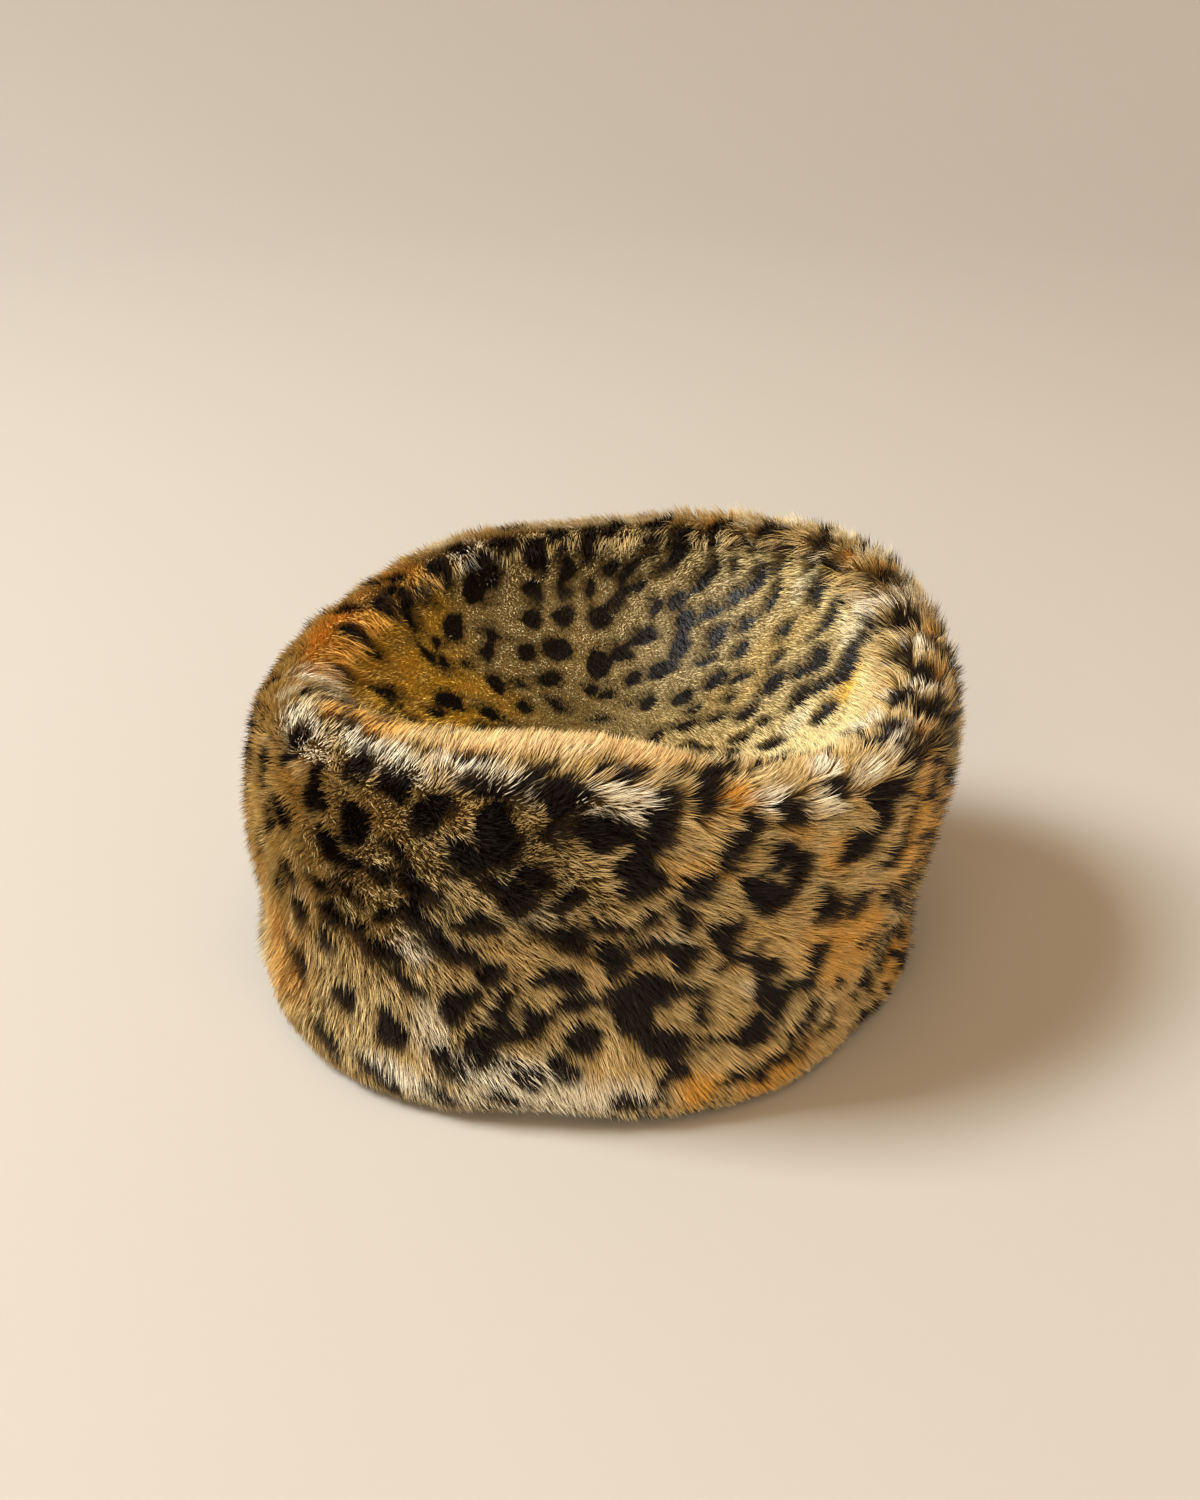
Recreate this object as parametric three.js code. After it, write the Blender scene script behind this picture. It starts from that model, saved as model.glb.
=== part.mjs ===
// Fur pillbox hat, standing on its open base with the soft top sunk between the rolled edges.
// Millimetres, +Z up, +X along the long way of the head oval, and the side with the lifted hem facing -Y.
import * as THREE from "three";

// Driving dimensions.
const headLong = 213; // over the fur of the side band, front of the head to its back
const headWide = 188; // over the fur, ear to ear
const bandHeight = 116; // floor to the fur on the rolled edge, on average round the hat
const backing = 2; // knitted backing of the fur cloth
const bandPile = 8; // fur standing on the side band
const tipPile = 5; // shorter fur on the crown tip
const rollRadius = 14; // rolled upper edge, over the fur
const rollTurn = 142; // degrees that the edge rolls, from the wall to the seam
const hemDepth = 18; // the lower edge turned up inside: its two layers of fur cloth
const hemHeight = 21; // how far it is turned up
const footFlat = 7; // width of the strip of hem that is pressed flat on the surface
const hemLift = 3; // how far the hem lifts at its loose stretch
const dishDepth = 41; // crown tip, from its seam down to the lowest fur
const dishCurve = 2.1; // 1 would be a cone, and more is a flatter dish
const seamGap = 0.3; // clearance between the two pieces of fur cloth
const lockRise = 2.6; // how far the tip of a lock of fur stands over its root
const lockLength = 31; // a lock along the wall
const lockTip = 11; // how far its pointed tip hangs past its edges
const lockCount = 28; // locks round the hat

const columnsPerLock = 4;
const wallRows = 16;
const rollRows = 6;
const dishRows = 9;
const tipColumns = 60;

// Rim height round the hat, as shares of bandHeight: the soft edge sags at the left and rises at the back right.
const rimRise = [
  { turn: 0, height: 0.95 },
  { turn: 30, height: 1.06 },
  { turn: 60, height: 1.045 },
  { turn: 90, height: 1.005 },
  { turn: 120, height: 0.98 },
  { turn: 150, height: 0.895 },
  { turn: 180, height: 0.875 },
  { turn: 210, height: 0.95 },
  { turn: 240, height: 0.995 },
  { turn: 270, height: 1.02 },
  { turn: 300, height: 0.9 },
  { turn: 330, height: 0.885 },
];

// The wall from hem to shoulder: how far it swells, as a share of the fur cloth's thickness.
const wallSwell = [
  { rise: 0.0, swell: 0.0 },
  { rise: 0.1, swell: 0.1 },
  { rise: 0.28, swell: -0.12 },
  { rise: 0.5, swell: 0.0 },
  { rise: 0.75, swell: 0.12 },
  { rise: 1.0, swell: -0.05 },
];

// Dents and bulges in the wall: where, how wide and tall, and the push outwards as a share of the cloth's thickness.
const wallDents = [
  { turn: 350, rise: 0.15, wide: 44, tall: 0.4, push: -0.8 }, // lower right tucked in
  { turn: 322, rise: 0.05, wide: 20, tall: 0.35, push: -0.4 }, // and in front of it
  { turn: 2, rise: 0.62, wide: 34, tall: 0.2, push: -0.35 }, // right side under the full edge
  { turn: 182, rise: 0.27, wide: 26, tall: 0.12, push: -0.12 }, // pinched waist at the left
  { turn: 178, rise: 1.0, wide: 36, tall: 0.3, push: -0.4 }, // the sagging edge draws the left side in
  { turn: 230, rise: 0.06, wide: 24, tall: 0.35, push: 0.42 }, // foot spread at the front left
  { turn: 236, rise: 0.55, wide: 20, tall: 0.3, push: 0.2 }, // full left of the front
  { turn: 268, rise: 0.4, wide: 17, tall: 0.35, push: -0.25 }, // shallow hollow in the front
  { turn: 300, rise: 0.85, wide: 10, tall: 0.25, push: -0.3 }, // notch under the sagging edge
  { turn: 60, rise: 0.4, wide: 26, tall: 0.3, push: -0.3 }, // back right
  { turn: 118, rise: 0.6, wide: 24, tall: 0.3, push: 0.2 }, // back left
];

// One long soft crease that runs down and forwards at the lower right, over the turned hem.
const crease = {
  start: { turn: 366, rise: 0.27 },
  end: { turn: 320, rise: 0.12 },
  breadth: 0.09, // of the wall's height
  depth: 0.32, // of the fur cloth's thickness
};

// Stretches where the hem lifts off the surface.
const hemLifts = [
  { turn: 262, wide: 9, lift: 1 },
  { turn: 20, wide: 14, lift: 0.5 },
];

const bandCloth = backing + bandPile;
const tipCloth = backing + tipPile;
const innerRoll = rollRadius - bandCloth;
const seamAngle = THREE.MathUtils.degToRad(rollTurn);
const columns = lockCount * columnsPerLock;

// One column of a table, between its rows, on a smooth curve. A table with a period runs on past its last row.
function fromTable(table, along, value, at, period = 0) {
  const count = table.length;
  const row = (i) => {
    if (!period) return table[THREE.MathUtils.clamp(i, 0, count - 1)];
    const turns = Math.floor(i / count);
    const source = table[i - turns * count];
    return { ...source, [along]: source[along] + turns * period };
  };
  const x = period ? THREE.MathUtils.euclideanModulo(at, period) : at;
  let k = 0;
  while (k < count - 1 && row(k + 1)[along] <= x) k += 1;
  const [before, a, b, after] = [row(k - 1), row(k), row(k + 1), row(k + 2)];
  const span = b[along] - a[along];
  if (span <= 0) return a[value];
  const slope = (p, q) => (q[along] > p[along] ? (q[value] - p[value]) / (q[along] - p[along]) : 0);
  const [s, leave, arrive] = [(x - a[along]) / span, slope(before, b) * span, slope(a, after) * span];
  const t = THREE.MathUtils.clamp(s, 0, 1);
  return (
    (1 + 2 * t) * (1 - t) ** 2 * a[value] +
    t * (1 - t) ** 2 * leave +
    t * t * (3 - 2 * t) * b[value] +
    t * t * (t - 1) * arrive
  );
}

// Distance in degrees between two turns, the short way round.
function turnBetween(a, b) {
  return Math.abs(THREE.MathUtils.euclideanModulo(a - b + 180, 360) - 180);
}

function bell(distance, width) {
  return Math.exp(-((distance / width) ** 2));
}

function rimHeight(turn) {
  return bandHeight * fromTable(rimRise, "turn", "height", turn, 360);
}

function creaseDepth(turn, rise) {
  const run = crease.end.turn - crease.start.turn;
  const near = turn > 180 ? turn : turn + 360;
  const share = THREE.MathUtils.clamp((near - crease.start.turn) / run, 0, 1);
  const middle = THREE.MathUtils.lerp(crease.start.rise, crease.end.rise, share);
  const past = near - THREE.MathUtils.lerp(crease.start.turn, crease.end.turn, share);
  return crease.depth * bell(rise - middle, crease.breadth) * bell(past, Math.abs(run) / 4);
}

// How far the wall stands out from the plan oval, at a turn and a share of its height.
function wallOut(turn, rise) {
  let out = fromTable(wallSwell, "rise", "swell", rise);
  for (const dent of wallDents)
    out += dent.push * bell(turnBetween(turn, dent.turn), dent.wide) * bell(rise - dent.rise, dent.tall);
  return bandCloth * (out - creaseDepth(turn, rise));
}

function hemRaise(turn) {
  return hemLifts.reduce((sum, l) => sum + hemLift * l.lift * bell(turnBetween(turn, l.turn), l.wide), 0);
}

// Locks of fur lie like shingles, each thin at its root and full at its pointed tip, in two staggered sets.
function lockRelief(turn, fromCrest) {
  const fraction = (value) => value - Math.floor(value);
  const sets = [0, 0.5].map((stagger) => {
    const across = fraction((turn / 360) * lockCount + stagger);
    const edge = Math.abs(2 * across - 1);
    const along = fraction((fromCrest + lockTip * edge) / lockLength + stagger);
    return along * (1 - edge * edge);
  });
  return lockRise * Math.max(...sets);
}

// A point of the hat, inset from the plan oval square to it.
function onPlan(turn, inset, z) {
  const angle = THREE.MathUtils.degToRad(turn);
  const [long, wide] = [headLong / 2, headWide / 2];
  const square = new THREE.Vector2(Math.cos(angle) / long, Math.sin(angle) / wide).normalize();
  return new THREE.Vector3(
    long * Math.cos(angle) - inset * square.x,
    wide * Math.sin(angle) - inset * square.y,
    z,
  );
}

// A point of the rolled edge: how far round the roll, and how far from its middle.
function onRoll(turn, angle, radius, along = 0) {
  const shoulder = wallOut(turn, 1);
  const inset = rollRadius - shoulder - radius * Math.cos(angle) + along * Math.sin(angle);
  const z = rimHeight(turn) - rollRadius + radius * Math.sin(angle) + along * Math.cos(angle);
  return onPlan(turn, inset, z);
}

// The band's cross-section at one turn, as a closed loop: hem, foot, wall, roll, seam and back down inside.
function bandSection(turn) {
  const raise = hemRaise(turn);
  const footOut = wallOut(turn, 0);
  const footRound = (hemDepth - footFlat) / 2;
  const shoulderHeight = rimHeight(turn) - rollRadius;
  const wallBottom = raise + footRound;
  const section = [
    onPlan(turn, hemDepth - footOut, raise + hemHeight - backing),
    onPlan(turn, hemDepth - footOut, raise + footRound),
    onPlan(turn, hemDepth - footOut - footRound / 3, raise + footRound / 3),
    onPlan(turn, hemDepth - footOut - footRound, raise),
    onPlan(turn, footRound - footOut, raise),
    onPlan(turn, footRound / 3 - footOut, raise + footRound / 3),
  ];
  for (let i = 0; i < wallRows; i += 1) {
    const rise = i / wallRows;
    const z = THREE.MathUtils.lerp(wallBottom, shoulderHeight, rise);
    const fade = Math.min(1, 3 * rise);
    const relief = fade * lockRelief(turn, rollRadius + shoulderHeight - z);
    section.push(onPlan(turn, -wallOut(turn, rise) - relief, z));
  }
  for (let i = 0; i <= rollRows; i += 1) {
    const angle = (seamAngle * i) / rollRows;
    const fade = 1 - i / rollRows;
    const relief = fade * lockRelief(turn, rollRadius * Math.max(0, 1 - angle));
    section.push(onRoll(turn, angle, rollRadius + relief));
  }
  const innerRollRows = rollRows / 2;
  for (let i = 0; i <= innerRollRows; i += 1)
    section.push(onRoll(turn, seamAngle * (1 - i / innerRollRows), innerRoll));
  const innerRows = 5;
  const hemTop = raise + hemHeight;
  for (let i = 1; i <= innerRows; i += 1) {
    const z = THREE.MathUtils.lerp(shoulderHeight, hemTop, i / innerRows);
    const rise = (z - wallBottom) / (shoulderHeight - wallBottom);
    section.push(onPlan(turn, bandCloth - wallOut(turn, rise), z));
  }
  section.push(onPlan(turn, hemDepth - footOut - backing, raise + hemHeight));
  return section;
}

// Joins rings of equal length into quads. The first ring follows the last one when the strip is a loop.
function joinRings(rings, looped, vertices, triangles) {
  const size = rings[0].length;
  const first = vertices.length / 3;
  for (const ring of rings) for (const p of ring) vertices.push(p.x, p.y, p.z);
  const last = looped ? rings.length : rings.length - 1;
  for (let i = 0; i < last; i += 1)
    for (let j = 0; j < size; j += 1) {
      const a = first + i * size + j;
      const b = first + i * size + ((j + 1) % size);
      const c = first + ((i + 1) % rings.length) * size + j;
      const d = first + ((i + 1) % rings.length) * size + ((j + 1) % size);
      triangles.push(a, c, b, b, c, d);
    }
}

function geometryFrom(vertices, triangles) {
  const geometry = new THREE.BufferGeometry();
  geometry.setAttribute("position", new THREE.Float32BufferAttribute(vertices, 3));
  geometry.setIndex(triangles);
  geometry.computeVertexNormals();
  return geometry;
}

// The side band: one strip of fur cloth, rolled over at the top and turned up inside at the hem.
function sideBand() {
  const sections = Array.from({ length: columns }, (_, i) => bandSection((360 * i) / columns));
  const [vertices, triangles] = [[], []];
  joinRings(sections, true, vertices, triangles);
  return geometryFrom(vertices, triangles);
}

// The crown tip: an oval of shorter fur cloth, hanging as a dish from the seam inside the rolled edge.
function crownTip() {
  const furAt = innerRoll + tipCloth;
  const turns = Array.from({ length: tipColumns }, (_, i) => (360 * i) / tipColumns);
  const seam = (radius) => turns.map((turn) => onRoll(turn, seamAngle, radius, seamGap));
  const seamHeight = bandHeight - rollRadius + furAt * Math.sin(seamAngle);
  const floor = seamHeight - dishDepth;
  const dish = (edge, bottom) => {
    const rings = [];
    for (let i = dishRows; i >= 1; i -= 1) {
      const share = i / dishRows;
      rings.push(
        edge.map((p) => {
          const z = bottom + (p.z - bottom) * share ** dishCurve;
          return new THREE.Vector3(p.x * share, p.y * share, z);
        }),
      );
    }
    return rings;
  };
  const fur = dish(seam(furAt), floor);
  const back = dish(seam(innerRoll), floor - tipCloth);
  const [vertices, triangles] = [[], []];
  joinRings([...back.reverse(), ...fur], false, vertices, triangles);
  const ringStart = (ring) => ring * tipColumns;
  const lastRing = ringStart(2 * dishRows - 1);
  const poles = [
    { z: floor - tipCloth, ring: 0, flip: true },
    { z: floor, ring: lastRing, flip: false },
  ];
  for (const { z, ring, flip } of poles) {
    const pole = vertices.length / 3;
    vertices.push(0, 0, z);
    for (let j = 0; j < tipColumns; j += 1) {
      const [a, b] = [ring + j, ring + ((j + 1) % tipColumns)];
      triangles.push(...(flip ? [pole, a, b] : [pole, b, a]));
    }
  }
  // Rings run from the backing's middle out and back to the fur's middle, so the faces are turned outwards here.
  for (let i = 0; i < triangles.length; i += 3)
    [triangles[i + 1], triangles[i + 2]] = [triangles[i + 2], triangles[i + 1]];
  return geometryFrom(vertices, triangles);
}

function piece(name, geometry, color, roughness) {
  const mesh = new THREE.Mesh(geometry, new THREE.MeshStandardMaterial({ color, roughness, metalness: 0 }));
  mesh.name = name;
  return mesh;
}

const hat = new THREE.Group();
hat.add(piece("side_band", sideBand(), 0xa57f4c, 0.85));
hat.add(piece("crown_tip", crownTip(), 0x9c8a5e, 0.9));

// The origin lies on the surface that the hat stands on, under the middle of the hat.
const extent = new THREE.Box3().setFromObject(hat);
const middle = extent.getCenter(new THREE.Vector3());
hat.position.set(-middle.x, -middle.y, -extent.min.z);

export default hat;
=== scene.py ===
"""A leopard-spotted fur pillbox hat, dressed round its two solids: cloth, piles and studio."""

import logging
import math
from collections.abc import Iterable, Iterator
from dataclasses import dataclass, field
from enum import Enum
from typing import NamedTuple

import bpy
import numpy as np
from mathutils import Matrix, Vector
from mathutils.bvhtree import BVHTree

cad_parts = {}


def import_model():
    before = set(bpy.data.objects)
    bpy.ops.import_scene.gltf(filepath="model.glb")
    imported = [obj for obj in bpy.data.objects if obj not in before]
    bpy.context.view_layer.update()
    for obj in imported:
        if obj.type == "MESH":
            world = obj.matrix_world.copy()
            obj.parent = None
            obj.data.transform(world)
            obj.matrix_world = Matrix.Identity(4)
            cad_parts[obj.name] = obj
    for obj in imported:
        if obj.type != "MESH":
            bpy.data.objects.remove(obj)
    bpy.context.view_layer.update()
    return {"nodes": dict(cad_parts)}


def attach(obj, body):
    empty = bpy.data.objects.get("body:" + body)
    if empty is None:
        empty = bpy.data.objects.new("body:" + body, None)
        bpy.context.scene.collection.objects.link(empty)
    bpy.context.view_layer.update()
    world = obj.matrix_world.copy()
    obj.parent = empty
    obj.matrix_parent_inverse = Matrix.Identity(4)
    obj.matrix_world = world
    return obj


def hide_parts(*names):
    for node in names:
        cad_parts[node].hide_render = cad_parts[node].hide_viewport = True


Array = np.ndarray
Colour = tuple[float, float, float]
Point = tuple[float, float, float]
Span = tuple[float, float]
Socket = bpy.types.NodeSocket

MM = 0.001
CENTRE = (0.3 * MM, -0.7 * MM)  # the plan oval's middle
TINY = 1e-12  # keeps a division away from zero
BLADE_VERTICES = 5  # a strand is a blade of five vertices and three triangles
PRINT_FIELDS = ("spot", "ginger", "cream")  # what the print says of each point
LOG = logging.getLogger("hat")


class Zone(Enum):
    """The stretches of the hat, by the way that their pile grows."""

    HEM = "hem"
    WALL = "wall"
    CREST = "crest"
    TUFTED_RIM = "tufted rim"
    TIP = "tip"


class Blotch(NamedTuple):
    """One dark mark of the print, on the unrolled band or on the top as seen from above."""

    across: float  # band: degrees round the oval, 270 in the middle of the front; top: mm to the right
    along: float  # band: mm over the floor, up the wall and on round the roll; top: mm behind the middle
    long: float  # mm
    wide: float  # mm
    lean: float  # degrees up from the first way


class Patch(NamedTuple):
    """One stretch where the pile has another ground colour, with soft edges."""

    across: float  # as a blotch's
    along: float
    long: float
    wide: float
    lean: float
    strength: float  # 1 for the full colour


# The dark marks of the band's front, from left to right, read off.
BAND_BLOTCHES = tuple(
    Blotch(*row)
    for row in (
        (200, 95, 8, 4, 70), (197, 80, 8, 5, 80), (207, 87, 8, 4, 80), (217, 102, 15, 8, 70),
        (224.5, 92, 12, 8, 80), (214.5, 79, 11, 6, 0), (233, 107, 13, 7, 50), (233, 89, 11, 8, 50),
        (225, 65, 9, 6, 0), (240, 103, 11, 10, 30), (246.5, 98, 14, 8, 50), (228, 79, 10, 6, -20),
        (233, 77, 8, 4, -15), (241, 84, 10, 4, -30), (255, 108, 15, 6, -10), (257, 96, 13, 12, 40),
        (254, 88, 17, 7, 0), (261, 112, 11, 5, 80), (265, 107, 10, 8, 80), (264, 99, 12, 5, 85),
        (238.5, 76, 7, 6, 20), (232, 68, 8, 7, 0), (245, 75, 12, 6, -35), (217, 62, 6, 4, 0),
        (209, 70, 7, 4, 80), (204, 60, 6, 4, 70), (213, 55, 6, 4, 80), (228, 57, 7, 7, 0),
        (233, 57, 9, 5, 0), (239, 65, 7, 6, 40), (243.5, 66, 8, 6, -50), (226, 47, 9, 6, -45),
        (219, 50, 10, 5, 80), (237, 51, 13, 5, 0), (247, 60, 8, 6, -30), (250, 56, 10, 9, -40),
        (253, 67, 11, 6, -10), (241.5, 43, 9, 5, -35), (212, 33, 10, 4.5, -80), (217.5, 30, 12, 6, -75),
        (229.5, 30, 8, 7, 80), (250, 40, 12, 8, 60), (255, 51, 8, 6, 30), (257, 79, 13, 5, 0),
        (253, 83, 10, 5, 20), (260, 75, 9, 7, 60), (265, 66, 11, 5, 0), (262, 84, 9, 6, 0),
        (266, 75, 8, 6, 80), (225, 13, 12, 7, -55), (238.5, 26, 13, 8, -75), (235.5, 10, 13, 5, -42),
        (248, 19, 11, 7, -60), (252.5, 25, 11, 8, -50), (257.5, 31, 13, 5, 0), (256, 38, 10, 4, 80),
        (261.5, 36, 8, 7, 60), (257, 43, 6, 4, 0), (262, 50, 8, 5, 30), (265.5, 49, 8, 6, 0),
        (246, 8, 9, 5, -40), (256, 9, 10, 5, -40), (259.5, 19, 10, 5, -55), (265, 21, 10, 5, -50),
        (279.5, 102, 18, 7, 82), (277, 92, 9, 6, 0), (271, 97, 19, 7, -5), (276, 84, 14, 10, 75),
        (266.5, 106, 12, 5, 90), (275, 115, 7, 4, 0), (286, 108, 14, 7, 90), (288, 87, 9, 6, 70),
        (291.5, 93, 13, 8, 80), (300, 95, 11, 8, 80), (309, 100, 10, 7, 40), (298, 83, 9, 7, 20),
        (293, 76, 10, 8, -45), (296, 71, 13, 6, 0), (301, 77, 9, 5, 80), (318, 92, 9, 6, 20),
        (311, 78, 14, 7, 15), (284.5, 79, 9, 6, 0), (277, 70, 7, 6, 40), (282.5, 70, 8, 5, -60),
        (272, 67, 8, 5, -20), (268, 60, 8, 5, 0), (279, 61, 15, 4.5, -5), (282.5, 56, 9, 5, -65),
        (273, 55, 10, 6, 90), (279.5, 47, 11, 5, -15), (289, 63, 10, 7, 80), (291, 54, 11, 6, 10),
        (295, 50, 9, 5, -35), (296, 41, 14, 5, 85), (299, 33, 12, 7, 80), (286, 38, 9, 6, 70),
        (305, 45, 13, 8, 80), (306, 64, 10, 5, 80), (312, 62, 10, 4, -10), (310, 57, 9, 5, 0),
        (267.5, 42, 11, 6, 0), (273.5, 40, 9, 6, -20), (275.5, 44, 14, 6, -8), (268, 30, 9, 7, -60),
        (276, 36, 11, 7, -50), (280, 27, 16, 7, -12), (294, 26, 14, 6, -10), (289, 27, 10, 5, 0),
        (281.5, 18, 9, 6, 60), (276, 8, 14, 7, 0), (284, 45, 8, 4, 20), (303, 19, 9, 4, 30),
        (306, 27, 7, 4, 40), (313, 30, 6, 5, 0), (317, 42, 7, 4, 20), (298, 12, 11, 4, 20),
        (291, 13, 11, 5, 10), (305, 14, 8, 4, 20), (312, 16, 8, 4, 30), (318, 70, 9, 4, 10),
        (320, 58, 8, 4, 20), (316, 85, 11, 7, 60), (288, 115, 14, 5, 0), (303, 38, 7, 4, 70),
    )
)

# Silver-cream streaks of the band, where the pile parts. Those along the top of the left front are partly
# painted highlight: the gloss of the lit pile put into its colour.
BAND_CREAM_AND_HIGHLIGHT = tuple(
    Patch(*row)
    for row in (
        (217, 106, 30, 17, -10, 1.0), (236, 111, 40, 11, -12, 1.0), (254, 111, 34, 10, -12, 1.0),
        (273, 106, 26, 12, -8, 1.0), (243, 56, 14, 9, -20, 0.7), (245, 30, 12, 22, 0, 0.6),
        (258, 17, 44, 15, -8, 1.0), (241, 10, 30, 12, -20, 1.0), (262, 7, 60, 11, 0, 1.0),
        (272, 12, 26, 12, 5, 0.8), (296, 102, 8, 14, 80, 1.0), (305, 95, 9, 12, 70, 0.8),
        (309, 109, 14, 10, 30, 1.0), (325, 104, 16, 9, 20, 0.9), (315, 100, 16, 8, 20, 0.8),
        (280, 62, 12, 8, 0, 0.5), (294, 44, 10, 8, 0, 0.4), (330, 104, 22, 10, 20, 0.8),
        (350, 116, 26, 12, 10, 0.9), (12, 126, 26, 12, 0, 0.9), (35, 128, 26, 12, 0, 0.9),
        (200, 112, 14, 12, 0, 0.7), (262, 72, 16, 8, 0, 0.35), (40, 60, 30, 20, 30, 0.7),
        (75, 30, 40, 14, -20, 0.8), (105, 80, 26, 16, -20, 0.7), (140, 40, 34, 16, 10, 0.8),
        (165, 85, 24, 14, 0, 0.7), (15, 25, 26, 14, -30, 0.5),
    )
)

# Warm ginger stretches of the band.
BAND_GINGER = tuple(
    Patch(*row)
    for row in (
        (286, 11, 14, 12, 30, 1.0), (300, 9, 30, 14, 15, 0.8), (312, 45, 34, 40, 60, 0.7),
        (330, 70, 40, 50, 0, 0.6), (340, 20, 40, 30, 0, 0.7), (212, 28, 30, 36, -60, 0.6),
        (270, 121, 90, 9, 0, 0.35), (292, 104, 8, 12, 90, 0.9), (300, 88, 12, 9, 80, 0.7),
        (284, 84, 8, 26, 85, 0.5), (308, 78, 12, 14, 60, 0.7), (190, 122, 50, 22, 0, 0.5),
        (165, 120, 60, 22, 0, 0.3), (135, 122, 50, 18, 0, 0.2), (30, 30, 60, 34, 0, 0.5),
        (60, 80, 50, 30, 20, 0.6), (95, 40, 40, 30, -30, 0.5), (125, 90, 50, 24, 0, 0.6),
        (155, 20, 50, 24, 0, 0.7), (180, 60, 40, 40, 0, 0.5),
    )
)

# The dark marks of the sunk crown and of the rolled rim, read off.
TOP_BLOTCHES = tuple(
    Blotch(*row)
    for row in (
        (-35.5, 59.5, 8, 7, 0), (-20.5, 66.5, 6, 6, 0), (-10.5, 65, 7, 6, 0), (-41, 55, 6, 7, 0),
        (-37, 53, 7, 3, 0), (-22, 58, 9, 5.5, 0), (-4, 60, 6, 6, 0), (-22, 51.5, 7, 7, 0),
        (-12, 53, 8, 7, 0), (0, 53, 8, 6, 0), (-46, 43.6, 9, 7, -50), (-33.5, 45, 10, 4, -5),
        (-55, 48, 8, 4, 0), (-58.5, 41, 9, 4, -25), (-50.5, 38, 6, 4, 0), (-35.5, 39, 7, 6, 0),
        (-23, 42, 7, 6, 0), (-13.5, 44, 10, 7, 0), (-0.5, 40, 9, 9, 0), (-41.5, 33.5, 5, 4, 0),
        (-51.5, 32.5, 14, 4, -20), (-25, 31.5, 7, 5, 0), (-15.5, 34.5, 9, 5, 0), (-32, 29.7, 9, 5, -35),
        (-68, 40, 8, 6, 0), (-75, 26, 9, 6, 0), (-70, 25, 9, 5, 0), (-64.5, 11, 12, 6, 15),
        (-59, 6, 9, 6, 0), (-45, 19, 11, 7, -10), (-23.5, 23.5, 6, 5, 0), (-13.5, 26, 8, 4, -30),
        (-33, 18, 10, 4, -25), (0, 21, 8, 3, 0), (-3, 32, 5, 5, 0), (-12, 60, 6, 5, 0), (8, 61, 5, 4, 0),
        (25.5, 65.5, 8, 7, 90), (35, 64.5, 5, 4, 0), (3, 64.5, 7, 6, 0), (10, 65, 6, 5, 90),
        (21, 62, 9, 4, 0), (36.5, 58, 5, 4, 90), (43, 55, 5, 4, 90), (32, 55.5, 7, 5, 0), (12, 60, 4, 4, 0),
        (5, 57, 7, 5, 0), (24, 54, 7, 7, 0), (16.5, 53.7, 6, 5, 90), (49, 48, 7, 5, 20),
        (41.5, 47.5, 5, 5, 0), (53.5, 41, 9, 4, 40), (34, 47.4, 9, 4, 0), (26, 46.5, 7, 7, 0),
        (14, 47, 9, 6, 0), (45, 39, 7, 5, 0), (56, 29.6, 8, 6, 30), (24.5, 41.5, 8, 8, 0),
        (35.5, 39.7, 7, 5, 0), (6.5, 43.5, 10, 5, -20), (43, 31.5, 6, 5, 0), (32, 34, 8, 5, 0),
        (19, 36, 11, 6, 0), (53, 22, 6, 4, 30), (59.5, 14, 5, 4, 90), (51.5, 15, 10, 5, 20),
        (42, 23, 8, 5, 0), (34.5, 25.6, 7, 6, 0), (10, 35, 6, 5, 0), (24.5, 24.5, 8, 7, 0),
        (14, 25.5, 7, 6, 0), (1.5, 30.7, 6, 5, 0), (8, 26, 4, 2, 0), (59, 5, 10, 5, 30),
        (43.5, 9, 8, 5, 20), (34.5, 12, 8, 5, 0), (48.5, 2, 6, 5, 0), (25, 13, 12, 4, 10),
        (17, 14, 7, 3, 0), (41.5, -1, 6, 5, 0), (50, -11, 8, 6, 0), (28, 18.5, 8, 5, 0),
        (38.5, 17.5, 6, 4, 0), (65, -8, 10, 6, 60), (74.5, 6, 14, 9, 30), (67, 5, 10, 5, 20),
        (65, 14, 7, 8, 0), (67, 32.5, 10, 6, 20), (69, 23, 12, 4, 15), (-31, 67, 9, 6, 0),
        (-45, 64, 10, 6, -25), (-52, 56, 9, 9, -50), (-65, 45, 10, 6, -10), (-66, 52, 9, 4, -10),
        (-80, 38, 10, 5, -10), (-75, 53, 7, 4, -45), (-76, 6, 8, 4, 30), (-98, -8, 8, 5, 85),
        (-86, -38, 12, 8, 30), (-28, 79, 8, 4, 0), (-14.5, 73, 7, 7, 0), (-3.5, 73, 5, 6, 0),
        (-4, 69, 7, 5, 0), (2.5, 73, 6, 5, 0), (4.5, 77, 6, 5, 0), (17, 73, 8, 5, 0), (16, 67, 8, 3, 0),
        (21, 77, 6, 4, 0), (39, 67, 4, 7, 0), (54, 58, 10, 10, 0), (57, 48, 6, 4, 0), (67, 42, 8, 6, 40),
        (71, 54, 10, 5, 60), (84, 46, 9, 5, 30), (92, 38, 9, 5, 25), (87, 26, 12, 6, 10),
        (90, 8, 12, 9, 10), (99, -1, 9, 7, 0), (86, -6, 8, 5, 40), (93, -15, 13, 8, -20),
        (84, -24, 9, 8, 20), (92, -31, 11, 9, -10), (99, -27, 7, 5, 0), (80, -40, 9, 7, -40),
        (91, -45, 12, 8, -30), (82, -58, 12, 9, -40), (95, -56, 8, 6, 0),
    )
)

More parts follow.
